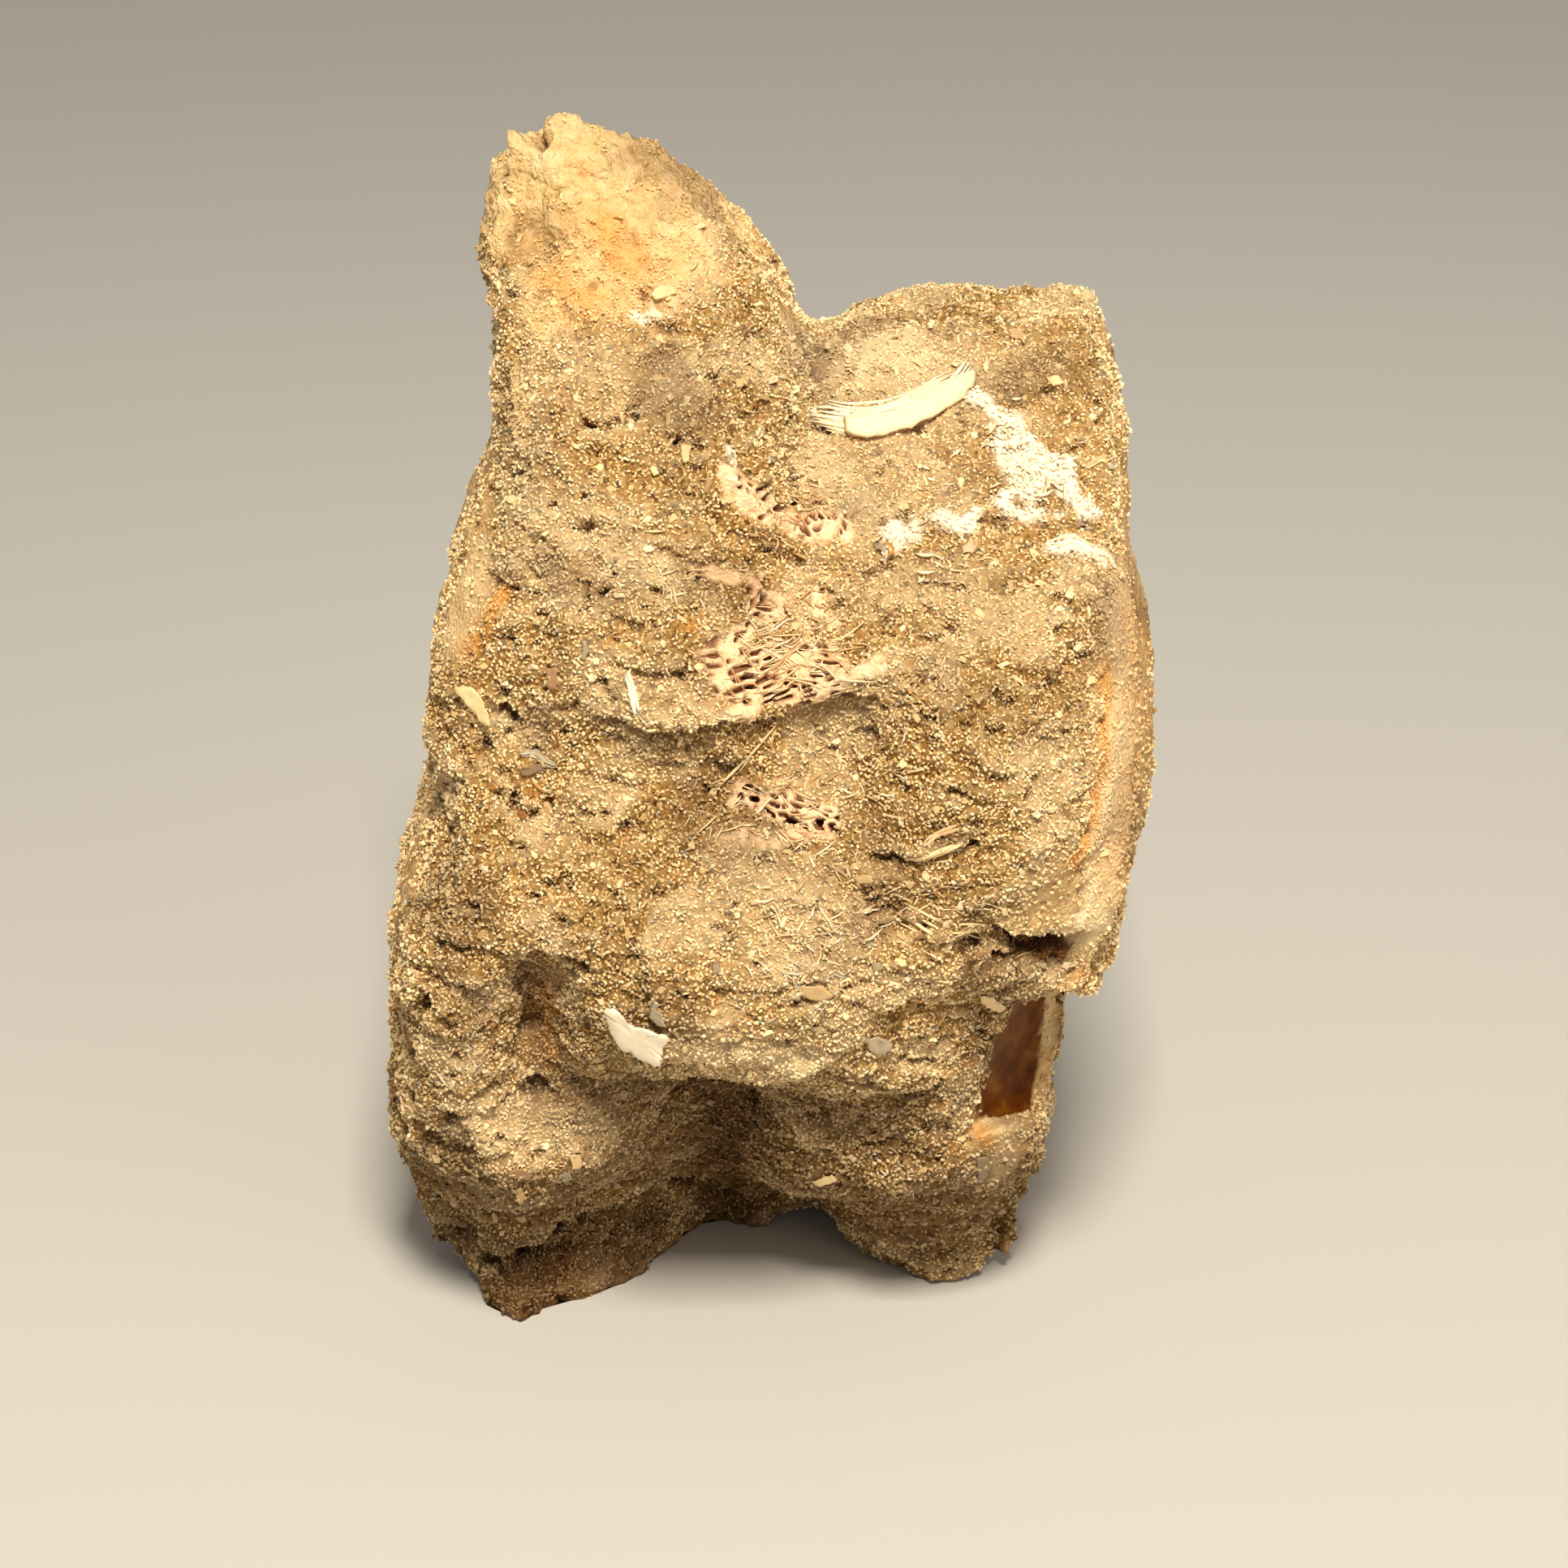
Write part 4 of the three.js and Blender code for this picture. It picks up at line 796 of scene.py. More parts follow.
def finish_masks(stone, warp, facing, downward):
    """How strongly each finish lies at each point: its marks, its drifts and its ragged borders."""
    points, normals = stone.points, stone.normals
    wandering = points + 0.9 * warp
    masks = {name: cover(stone, wandering, marks) for name, marks in FINISHES.items()}
    ragged = lumps(points, RAGGED_LUMPS)
    for name, low, high in RAGGED_FINISHES:
        masks[name] = smooth_step(masks[name] + ragged * (masks[name] > 0.02), low, high)
    for name, size, seed in DRIFTS:
        drift = DRIFT_STRENGTH * smooth_step(noise(wandering, size, seed), 0.1, 0.5)
        masks[name] = np.maximum(masks[name], drift)
    # Painted shade: the downward faces and the lowest few millimetres are darkened brown, and the low
    # downward faces lose their pale and ashy drifts.
    low = 0.35 * (1 - smooth_step(points[:, 2], 3, 12))
    masks["umber"] = np.maximum.reduce([masks["umber"], 0.65 * downward, low])
    for name in ("ash", "pale"):
        masks[name] *= 1 - downward * (points[:, 2] < 8)
    # Away from the broken front and top, weathered bone shows between patches of sand.
    above = smooth_step(normals[:, 2], 0.25, 0.6) * smooth_step(points[:, 2], 54, 60)
    broken = np.maximum(facing, above)
    patches = smooth_step(noise(points, 9, 21) + 0.4 * noise(points, 3, 22), -0.1, 0.25)
    masks["skin"] = np.maximum(masks["skin"], (1 - broken) * (1 - patches))
    masks["facet"] = facet_mask(points, normals, warp)
    masks["skin"] *= 1 - masks["facet"]
    return masks


def facet_mask(points, normals, warp):
    """One on the flat amber bone face, none elsewhere."""
    slanted = np.stack([
        points[:, 0], points[:, 2] * math.cos(FACET_VIEW) + points[:, 1] * math.sin(FACET_VIEW),
    ], axis=1)
    amber = inside(slanted + 0.12 * warp[:, :2], FACET_OUTLINE)
    return 1.0 * amber * (normals[:, 1] < 0.2) * (points[:, 2] > FACET_FOOT)


def rock_relief(points, warp, masks):
    """How far the surface stands out: lumps, beds and pocks of the sand, scales of the crust."""
    smooth = np.maximum.reduce([
        0.6 * masks["crust"], 0.85 * masks["skin"], masks["facet"], 0.8 * masks["spongy"],
    ])
    rough = 1 - smooth
    bedded = points * (0.85, 1, 1.2)
    height = -SKIN_DEPTH + 0.35 * noise(points, 6.5, 3)
    for size, amount, seed in ROCK_LUMPS:
        height += rough * amount * noise(bedded, size, seed)
    for size, drop, seed in ROCK_BEDS:
        bed = noise(bedded + 0.5 * warp, size, seed)
        height += rough * drop * (smooth_step(bed, -0.05, 0.07) - 0.5)
    # Small holes, where grains have come out together.
    pocks = smooth_step(noise(bedded, 1.5, 6) + 0.35 * noise(points, 0.6, 7), 0.42, 0.7)
    height -= rough * POCK_DEPTH * pocks
    for size, amount, seed in CRUST_SCALES:
        height += masks["crust"] * amount * noise(points, size, seed)
    upright = points * (1, 1, 0.35)
    height += masks["skin"] * (0.14 * noise(upright, 0.9, 9) + 0.11 * noise(points, 0.6, 27))
    height += masks["spongy"] * lumps(points, SPONGY_LUMPS)
    height -= masks["facet"] * 0.1
    return height


def carve_openings(stone, warp, masks, height):
    """Pores and nets of the spongy bone, and hollows in the sand, cut into the height."""
    points = stone.points
    masks["pores"] = np.zeros(len(points))
    for start, end, size, depth in PORES:
        here, away = stone.near(points + 0.05 * warp, [start, end], size, 2)
        open_part = 1 - smooth_step(away, 0.75, 1.25)
        masks["pores"][here] = np.maximum(masks["pores"][here], open_part)
        height[here] -= depth * open_part
    for start, end, size, focus, length, width in NETS:
        here, away = stone.near(points + 0.9 * warp, [start, end], size, 1.6)
        towards = np.array(focus) - points[here][:, ::2]
        out = np.linalg.norm(towards, axis=1)
        turn = np.arctan2(towards[:, 1], towards[:, 0]) * out.mean()
        gap = cell_walls(np.stack([out / length, turn / width], axis=1), 3)
        open_part = smooth_step(gap, 0.26, 0.46) * (1 - smooth_step(away, 0.8, 1.3))
        open_part *= smooth_step(noise(points[here], 1.3, 61), -0.45, -0.1)
        masks["pores"][here] = np.maximum(masks["pores"][here], 0.9 * open_part)
        masks["spongy"][here] = np.maximum(masks["spongy"][here], 1 - smooth_step(away, 0.8, 1.2))
        height[here] -= NET_DEPTH * open_part
    for start, end, size, depth in HOLLOWS:
        here, away = stone.near(points + 0.2 * warp, [start, end], size, 2.4)
        height[here] -= depth * (1 - smooth_step(away, 0.6, 1.5))


def carve_edges(stone, warp, facing, height):
    """Broken edges and ribs, on the height."""
    points = stone.points
    for line, drop, reach in LEDGES:
        height -= ledge_drop(points + 0.35 * warp, line, drop, reach) * facing
    for line, size, rise in RIBS:
        here, away = stone.near(points + 0.15 * warp, line, size, 2.6)
        height[here] += rise * bell(away)


def sandy_share(points, masks, facing, downward):
    """How thickly loose grains lie on each point."""
    # The crust is scaly near the top of the spire, and grows grainy further down it.
    scaly = smooth_step(noise(points, 1.8, 33) + 0.12 * (points[:, 2] - 74), -0.15, 0.1)
    bare = np.maximum.reduce([
        smooth_step(masks["skin"], 0.3, 0.7) * (1 - SAND_ON_BONE * facing), masks["facet"],
        masks["crust"] * scaly, masks["chalk"], masks["spongy"], masks["pores"],
        UNDERSIDE_BARE * downward * (points[:, 2] < UNDERSIDE_TOP),
    ])
    sandy = np.clip(1.05 - bare + 0.15 * noise(points, 0.9, 31), 0, 1)
    return np.where(sandy < LEAST_SAND, 0, sandy)


def within_cad_box(points):
    """The points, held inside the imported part's own box."""
    low, high = (np.array(corner) / MM - LAYOUT_SHIFT for corner in cad_box)
    return np.clip(points, low, high)


def ledge_drop(points, line, drop, reach):
    """A sharp step down to the right of a line on the front face, that comes back out over its reach."""
    total = np.zeros(len(points))
    low, high = np.min(line, axis=0) - 3 * reach, np.max(line, axis=0) + 3 * reach
    here = np.flatnonzero(np.all((points[:, ::2] > low) & (points[:, ::2] < high), axis=1))
    for (x1, z1), (x2, z2) in zip(line, line[1:]):
        length = math.hypot(x2 - x1, z2 - z1)
        away = points[here][:, ::2] - (x1, z1)
        along = (away[:, 0] * (x2 - x1) + away[:, 1] * (z2 - z1)) / length
        right = (away[:, 0] * (z2 - z1) - away[:, 1] * (x2 - x1)) / length
        beyond = np.maximum(np.maximum(-along, along - length), 0)
        step = smooth_step(right, -0.15, 0.15) * bell(np.maximum(right, 0) / reach) * bell(beyond / 0.7)
        total[here] = np.maximum(total[here], drop * step)
    return total


# ---------------------------------------------------------------- making pieces

def mesh_piece(name, points, faces, masks=None):
    """A mesh object of triangles, from places in the layout and values at its points."""
    mesh = bpy.data.meshes.new(name)
    placed = (points + LAYOUT_SHIFT) * MM
    mesh.vertices.add(len(points))
    mesh.vertices.foreach_set("co", placed.astype(np.float32).ravel())
    mesh.loops.add(faces.size)
    mesh.loops.foreach_set("vertex_index", faces.astype(np.int32).ravel())
    mesh.polygons.add(len(faces))
    mesh.polygons.foreach_set("loop_start", np.arange(0, faces.size, 3, dtype=np.int32))
    mesh.polygons.foreach_set("use_smooth", np.ones(len(faces), bool))
    mesh.update(calc_edges=True)
    for label, values in (masks or {}).items():
        layer = mesh.attributes.new(label, "FLOAT", "POINT")
        layer.data.foreach_set("value", np.asarray(values, np.float32))
    piece = bpy.data.objects.new(name, mesh)
    bpy.context.scene.collection.objects.link(piece)
    return piece


def values_of(data, label, width):
    """A mesh's numbers as an array: of its points, or of one of its attributes."""
    numbers = np.zeros(len(data) * width, np.float32)
    data.foreach_get(label, numbers)
    return numbers.reshape(-1, width) if width > 1 else numbers


def applied(piece):
    """The piece's mesh with its modifiers applied, and none left."""
    evaluated = piece.evaluated_get(bpy.context.evaluated_depsgraph_get())
    mesh = bpy.data.meshes.new_from_object(evaluated)
    mesh.name = piece.name
    piece.modifiers.clear()
    piece.data = mesh
    return piece


def add(tree, kind, values=None, output=0, stops=None, **settings):
    """One node with its settings, its inputs' values or links and its colours. Gives an output."""
    node = tree.nodes.new(kind)
    for setting, value in settings.items():
        setattr(node, setting, value)
    for key, value in (values or {}).items():
        if isinstance(value, bpy.types.NodeSocket):
            tree.links.new(value, node.inputs[key])
        else:
            node.inputs[key].default_value = value
    for index, (position, code) in enumerate(stops or []):
        elements = node.color_ramp.elements
        element = elements[index] if index < len(elements) else elements.new(position)
        element.position, element.color = position, linear(code)
    return node.outputs[output] if node.outputs else node


def linear(code):
    """A linear colour from an sRGB hex code."""
    parts = [int(code[i:i + 2], 16) / 255 for i in (1, 3, 5)]
    return [*(p / 12.92 if p <= 0.04045 else ((p + 0.055) / 1.055) ** 2.4 for p in parts), 1]


def new_material(name):
    """A material with no nodes yet, and its tree."""
    material = bpy.data.materials.new(name)
    material.use_nodes = True
    material.node_tree.nodes.clear()
    return material, material.node_tree


# ---------------------------------------------------------------- finishes

# Stains, and painted shade and light, that lie over bone and sand alike: mask, strength, colour and how it
# goes on.
STAINS_AND_PAINTED_LIGHT = [
    # Lighter on the crests of the carving.
    ("crest", 0.25, "#FBE4B6", "MIX"),
    ("ash", 0.7, "#BCB29C", "MULTIPLY"),
    # Pale sand, and painted light on the lit tops and faces.
    ("pale", 0.5, "#FFE9BE", "MIX"),
    ("crust", 0.5, "#E8C488", "MIX"),
    ("rust", 0.6, "#EDA03A", "MIX"),
    # Dark brown: some dark brown stain, mostly painted shade on the feet and under edges, a near neutral
    # darkening.
    ("umber", 0.9, "#705434", "MULTIPLY"),
    ("spongy", 0.3, "#EFC094", "MIX"),
    ("chalk", 0.88, "#FFF2D8", "MIX"),
    # Painted shade in the hollows of the carving.
    ("hollow", 0.6, "#7C5E3C", "MULTIPLY"),
]
# Quartz, shell and bone sand, with a few rusty, grey and dark grains at the end.
SAND_TONES = [
    (0.0, "#70542E"), (0.1, "#A88450"), (0.24, "#D0AC70"), (0.5, "#E8C68C"), (0.78, "#F6DAA4"),
    (0.94, "#FCE9BE"), (0.965, "#CC9248"), (0.985, "#B4A98C"), (1.0, "#948E7C"),
]

# Packed sand is shaded by the grains over it.
PACKED_SHADE = "#AC9670"
CRUST_TONES = [
    (0.36, "#9C7642"), (0.44, "#C4985C"), (0.5, "#DAB27A"), (0.57, "#EACA98"), (0.66, "#F8E4C4"),
]
SKIN_TONES = [(0.3, "#B48C56"), (0.44, "#CAA268"), (0.55, "#D6B07A"), (0.7, "#E4C898")]
AMBER_TONES = [(0.36, "#4A2204"), (0.5, "#643408"), (0.62, "#78480E"), (0.75, "#9C6A1E")]
SPONGY_TONES = [(0.3, "#DDA474"), (0.42, "#F2C898"), (0.55, "#FCDCAE"), (0.7, "#FFEED0")]
PORE_COLOUR = "#6A3216"
# Broken bone from cold to warm, and the shade of its dust and stain.
BONE_HUES = [
    (0.0, "#BDAF90"), (0.25, "#FFF0D0"), (0.5, "#EFD29A"), (0.75, "#E6C296"), (1.0, "#CF9448"),
]
BONE_SHADES = [(0.1, "#A98A62"), (0.75, "#FFFFFF")]


def with_stains_and_painted_light(tree, colour):
    """The colour with every stain, and the painted shade and light, laid over it where its mask says so."""
    for name, strength, code, blend in STAINS_AND_PAINTED_LIGHT:
        amount = add(tree, "ShaderNodeAttribute", output="Fac", attribute_name=name)
        share = add(tree, "ShaderNodeMath", {0: amount, 1: strength}, operation="MULTIPLY")
        colour = add(tree, "ShaderNodeMix", {0: share, 6: colour, 7: linear(code)}, output=2,
                     data_type="RGBA", blend_type=blend)
    return colour


def sand_finish():
    """Sea sand of quartz, phosphate and shell, cemented: dull, rounded, each grain its own tone."""
    material, tree = new_material("cemented_sand_grains")
    tone = add(tree, "ShaderNodeAttribute", output="Fac", attribute_name="tone")
    colour = with_stains_and_painted_light(tree, add(tree, "ShaderNodeValToRGB", {0: tone}, stops=SAND_TONES))
    shader = add(tree, "ShaderNodeBsdfPrincipled", {
        "Base Color": colour, "Roughness": 0.75, "IOR": 1.5, "Specular IOR Level": 0.3,
    })
    add(tree, "ShaderNodeOutputMaterial", {"Surface": shader})
    return material


def broken_bone_finish():
    """Freshly broken fossil bone: chalky to satin, from grey through white and pink to orange."""
    material, tree = new_material("splintered_fossil_bone")
    hue = add(tree, "ShaderNodeAttribute", output="Fac", attribute_name="hue")
    tone = add(tree, "ShaderNodeAttribute", output="Fac", attribute_name="tone")
    place = add(tree, "ShaderNodeTexCoord", output="Object")
    # Dust and stain in patches of about half a millimetre.
    dust = add(tree, "ShaderNodeTexNoise", {"Vector": place, "Scale": 1 / (0.5 * MM), "Detail": 4})
    colour = add(tree, "ShaderNodeValToRGB", {0: hue}, stops=BONE_HUES)
    darker = add(tree, "ShaderNodeMath", {0: dust, 1: tone}, operation="MULTIPLY_ADD")
    tree.links.new(tone, darker.node.inputs[2])
    shade = add(tree, "ShaderNodeValToRGB", {0: darker}, stops=BONE_SHADES)
    colour = add(tree, "ShaderNodeMix", {0: 1.0, 6: colour, 7: shade}, output=2,
                 data_type="RGBA", blend_type="MULTIPLY")
    shader = add(tree, "ShaderNodeBsdfPrincipled", {"Base Color": colour, "Roughness": 0.55, "IOR": 1.5})
    add(tree, "ShaderNodeOutputMaterial", {"Surface": shader})
    return material


def packed_sand(tree, place):
    """Packed sand between the loose grains: cells of a quarter of a millimetre, each its own tone."""
    cells = add(tree, "ShaderNodeTexVoronoi", {"Vector": place, "Scale": 1 / (0.25 * MM)}, output="Color")
    cell_tone = add(tree, "ShaderNodeSeparateColor", {0: cells})
    sand = add(tree, "ShaderNodeValToRGB", {0: cell_tone}, stops=SAND_TONES)
    sand = add(tree, "ShaderNodeMix", {0: 1.0, 6: sand, 7: linear(PACKED_SHADE)}, output=2,
               data_type="RGBA", blend_type="MULTIPLY")
    return sand, cells.node.outputs["Distance"]


def stone_finish():
    """Bone in sandstone: packed sand, satin weathered bone, cream crust and one glossy amber face."""
    material, tree = new_material("fossil_bone_in_sandstone")
    place = add(tree, "ShaderNodeTexCoord", output="Object")
    masks = {
        name: add(tree, "ShaderNodeAttribute", output="Fac", attribute_name=name)
        for name in ("crust", "skin", "spongy", "facet", "pores")
    }
    sand, cell_edges = packed_sand(tree, place)
    # Crust in clouds of a couple of millimetres, broken up by scales of half a millimetre.
    mottle = add(tree, "ShaderNodeTexNoise", {
        "Vector": place, "Scale": 1 / (0.6 * MM), "Detail": 4, "Roughness": 0.6,
    })
    clouds = add(tree, "ShaderNodeTexNoise", {
        "Vector": place, "Scale": 1 / (2.2 * MM), "Detail": 6, "Roughness": 0.68,
    })
    crust_tone = add(tree, "ShaderNodeMix", {0: 0.5, 2: clouds, 3: mottle}, data_type="FLOAT")
    crust = add(tree, "ShaderNodeValToRGB", {0: crust_tone}, stops=CRUST_TONES)
    # Weathered bone is streaked along the bone's own upright fibres.
    upright = add(tree, "ShaderNodeMapping", {"Vector": place, "Scale": (1, 1, 0.42)})
    fibres = add(tree, "ShaderNodeTexNoise", {
        "Vector": upright, "Scale": 1 / (1.1 * MM), "Detail": 6, "Roughness": 0.7,
    })
    skin = add(tree, "ShaderNodeValToRGB", {0: fibres}, stops=SKIN_TONES)
    amber = add(tree, "ShaderNodeValToRGB", {0: clouds}, stops=AMBER_TONES)
    # Spongy bone is mottled by the same noise as the crust's scales.
    spongy = add(tree, "ShaderNodeValToRGB", {0: mottle}, stops=SPONGY_TONES)
    colour = sand
    for name, over in (("crust", crust), ("skin", skin), ("spongy", spongy)):
        colour = add(tree, "ShaderNodeMix", {0: masks[name], 6: colour, 7: over}, output=2, data_type="RGBA")
    colour = with_stains_and_painted_light(tree, colour)
    colour = add(tree, "ShaderNodeMix", {0: masks["pores"], 6: colour, 7: linear(PORE_COLOUR)}, output=2,
                 data_type="RGBA")
    colour = add(tree, "ShaderNodeMix", {0: masks["facet"], 6: colour, 7: amber}, output=2, data_type="RGBA")
    gloss = add(tree, "ShaderNodeMapRange", {0: masks["facet"], 3: 0.8, 4: 0.3})
    mirror = add(tree, "ShaderNodeMapRange", {0: masks["facet"], 3: 0.2, 4: 0.07})
    # The crust's scales stand up a few hundredths of a millimetre more than the sand's cells.
    scales = add(tree, "ShaderNodeMath", {0: mottle, 1: 5.0}, operation="MULTIPLY")
    relief = add(tree, "ShaderNodeMath", {0: scales, 1: masks["crust"], 2: cell_edges},
                 operation="MULTIPLY_ADD")
    bump = add(tree, "ShaderNodeBump", {"Height": relief, "Strength": 0.6, "Distance": -0.1 * MM})
    plain = add(tree, "ShaderNodeMath", {0: 1.0, 1: masks["facet"]}, operation="SUBTRACT", use_clamp=True)
    tree.links.new(plain, bump.node.inputs["Strength"])
    shader = add(tree, "ShaderNodeBsdfPrincipled", {
        "Base Color": colour, "Roughness": gloss, "Normal": bump, "IOR": 1.5,
        "Specular IOR Level": mirror,
    })
    add(tree, "ShaderNodeOutputMaterial", {"Surface": shader})
    return material


# ---------------------------------------------------------------- sand and chips

def grain_shape():
    """A worn sand grain: uneven triangles above and below, and six sides between them."""
    corners = np.array([
        [1.0, 0.1, 0.5], [-0.45, 0.9, 0.6], [-0.55, -0.85, 0.45],
        [0.5, 0.8, -0.5], [-1.0, 0.1, -0.45], [0.5, -0.9, -0.55],
    ])
    sides = [(0, 1, 2), (3, 5, 4), (0, 3, 1), (1, 3, 4), (1, 4, 2), (2, 4, 5), (2, 5, 0), (0, 5, 3)]
    grain = mesh_piece("grain", corners / MM - LAYOUT_SHIFT, np.array(sides))
    grain.data.polygons.foreach_set("use_smooth", np.zeros(len(sides), bool))
    return grain


def scatter_tree():
    """Shapes laid over a surface where its mask 'here' says so, each turned, sized and toned at random."""
    tree = bpy.data.node_groups.new("laid grains", "GeometryNodeTree")
    sockets = tree.interface
    sockets.new_socket("Surface", in_out="INPUT", socket_type="NodeSocketGeometry")
    sockets.new_socket("Grain", in_out="INPUT", socket_type="NodeSocketObject")
    for label in ("Spacing", "Density", "Lowest", "Highest"):
        sockets.new_socket(label, in_out="INPUT", socket_type="NodeSocketFloat")
    for label in ("Smallest", "Largest", "Turn"):
        sockets.new_socket(label, in_out="INPUT", socket_type="NodeSocketVector")
    sockets.new_socket("Seed", in_out="INPUT", socket_type="NodeSocketInt")
    sockets.new_socket("Finish", in_out="INPUT", socket_type="NodeSocketMaterial")
    sockets.new_socket("Grains", in_out="OUTPUT", socket_type="NodeSocketGeometry")
    given = add(tree, "NodeGroupInput").node.outputs
    here = add(tree, "GeometryNodeInputNamedAttribute", {"Name": "here"}, data_type="FLOAT")
    spots = add(tree, "GeometryNodeDistributePointsOnFaces", {
        "Mesh": given["Surface"], "Distance Min": given["Spacing"], "Density Max": given["Density"],
        "Density Factor": here, "Seed": given["Seed"],
    }, distribute_method="POISSON")
    lift = add(tree, "FunctionNodeRandomValue", {
        2: given["Lowest"], 3: given["Highest"], "Seed": given["Seed"],
    }, output=1, data_type="FLOAT")
    offset = add(tree, "ShaderNodeVectorMath", {
        0: spots.node.outputs["Normal"], "Scale": lift,
    }, operation="SCALE")
    lifted = add(tree, "GeometryNodeSetPosition", {"Geometry": spots, "Offset": offset})
    turn = add(tree, "FunctionNodeRandomValue", {1: given["Turn"], "Seed": given["Seed"]},
               data_type="FLOAT_VECTOR")
    rotation = add(tree, "FunctionNodeRotateRotation", {
        "Rotation": spots.node.outputs["Rotation"], "Rotate By": turn,
    }, rotation_space="LOCAL")
    size = add(tree, "FunctionNodeRandomValue", {
        0: given["Smallest"], 1: given["Largest"], "Seed": given["Seed"],
    }, data_type="FLOAT_VECTOR")
    shape = add(tree, "GeometryNodeObjectInfo", {"Object": given["Grain"], "As Instance": True},
                output="Geometry")
    grains = add(tree, "GeometryNodeInstanceOnPoints", {
        "Points": lifted, "Instance": shape, "Rotation": rotation, "Scale": size,
    })
    chance = add(tree, "FunctionNodeRandomValue", {"Seed": given["Seed"]}, output=1, data_type="FLOAT")
    toned = add(tree, "GeometryNodeStoreNamedAttribute", {
        "Geometry": grains, "Name": "tone", "Value": chance,
    }, data_type="FLOAT", domain="INSTANCE")
    whole = add(tree, "GeometryNodeRealizeInstances", {"Geometry": toned})
    done = add(tree, "GeometryNodeSetMaterial", {"Geometry": whole, "Material": given["Finish"]})
    add(tree, "NodeGroupOutput", {"Grains": done})
    return tree


def laid_grains(name, surface, here, settings):
    """A piece of grains on the part of a surface that 'here' covers."""
    piece = surface.copy()
    piece.data = surface.data.copy()
    piece.name = name
    bpy.context.scene.collection.objects.link(piece)
    layer = piece.data.attributes.new("here", "FLOAT", "POINT")
    layer.data.foreach_set("value", np.asarray(here, np.float32))
    laid = piece.modifiers.new("grains", "NODES")
    laid.node_group = settings["tree"]
    for item in laid.node_group.interface.items_tree:
        if item.name in settings:
            laid[item.identifier] = settings[item.name]
    applied(piece)
    spots = values_of(piece.data.vertices, "co", 3)
    piece.data.vertices.foreach_set("co", np.clip(spots, *np.array(cad_box)).astype(np.float32).ravel())
    for label in ("here", "sandy", "facet", "skin", "pores"):
        piece.data.attributes.remove(piece.data.attributes[label])
    give_each_its_cell(piece, sides_each=8)
    return piece


def give_six_charts(piece):
    """A UV map for the baked colours: one chart for each of the six ways that the stone faces."""
    mesh = piece.data
    points = values_of(mesh.vertices, "co", 3) / MM
    faces = values_of(mesh.polygons, "vertices", 3).astype(int)
    smoothed = relaxed(values_of(mesh.vertices, "normal", 3), faces, 0.8, CHART_PASSES)
    facing = smoothed[faces].sum(axis=1)
    axis = np.abs(facing).argmax(axis=1)
    chart = 2 * axis + (facing[np.arange(len(faces)), axis] > 0)
    flat = points[faces.ravel()].reshape(-1, 3, 3)
    places = np.empty((len(faces), 3, 2))
    wide, tall = CHART_CELL
    for index, (across, up) in enumerate(((1, 2), (1, 2), (0, 2), (0, 2), (0, 1), (0, 1))):
        here = chart == index
        # Seen from its own side, a chart isn't the mirror image of the stone.
        mirrored = -1 if index in (0, 3, 4) else 1
        places[here, :, 0] = mirrored * flat[here][:, :, across] + (index % 3 + 0.5) * wide
        places[here, :, 1] = flat[here][:, :, up] + (index // 3) * tall + (up == 1) * tall / 2
    layer = mesh.uv_layers.new(name="OFBake")
    layer.data.foreach_set("uv", (places / (2 * tall)).astype(np.float32).ravel())


def give_each_its_cell(piece, sides_each):
    """A UV map where each small shape has a square cell of its own, for the baked colours."""
    mesh = piece.data
    count = len(mesh.polygons) // sides_each
    across = math.ceil(math.sqrt(count))
    cell = np.arange(count)
    corner = np.stack([cell % across, cell // across], axis=1) / across
    triangle = np.array([[0.15, 0.15], [0.85, 0.15], [0.5, 0.85]]) / across
    places = np.tile(triangle, (sides_each, 1))[None] + corner[:, None]
    layer = mesh.uv_layers.new(name="OFBake")
    layer.data.foreach_set("uv", places.astype(np.float32).ravel())


# ---------------------------------------------------------------- splinters, fibres and flakes

# The way that small parts on the front stand out of it.
TOWARDS_LIGHT = np.array([0.0, -0.85, 0.53])
# Places along one loose fibre and one strand, and over how many of them a strand's depth is evened.
FIBRE_SPOTS = 4
STRAND_SPOTS = 24
EVENED_OVER = 7
# A flake from the middle of its top over its edge to its underside: the share of the way out to the
# edge, and how many thicknesses above or below the middle.
FLAKE_SECTION = ((0.35, 1), (0.7, 1), (0.94, 0.85), (1.0, 0), (0.94, -1), (0.5, -1))
# How ragged a flake's edge is, and how much its face rises and falls.
FLAKE_RAGGED = 0.04
FLAKE_UNEVEN = 0.06


def closed_rings(rings):
    """A closed mesh through rings of points, drawn in to the first and last ring's middle."""
    count, around = len(rings), len(rings[0])
    points = np.concatenate([[rings[0].mean(axis=0)], *rings, [rings[-1].mean(axis=0)]])
    here = 1 + np.arange(around)
    after = 1 + (np.arange(around) + 1) % around
    last = len(points) - 1
    faces = [np.stack([np.zeros(around, int), after, here], axis=1)]
    for ring in range(count - 1):
        low, high = ring * around, (ring + 1) * around
        faces.append(np.stack([here + low, after + low, here + high], axis=1))
        faces.append(np.stack([after + low, after + high, here + high], axis=1))
    low = (count - 1) * around
    faces.append(np.stack([here + low, after + low, np.full(around, last)], axis=1))
    faces = np.concatenate(faces)
    a, b, c = (points[faces[:, k]] - points.mean(axis=0) for k in range(3))
    outward = np.einsum("ij,ij->i", a, np.cross(b, c)).sum() > 0
    return points, faces if outward else faces[:, ::-1]


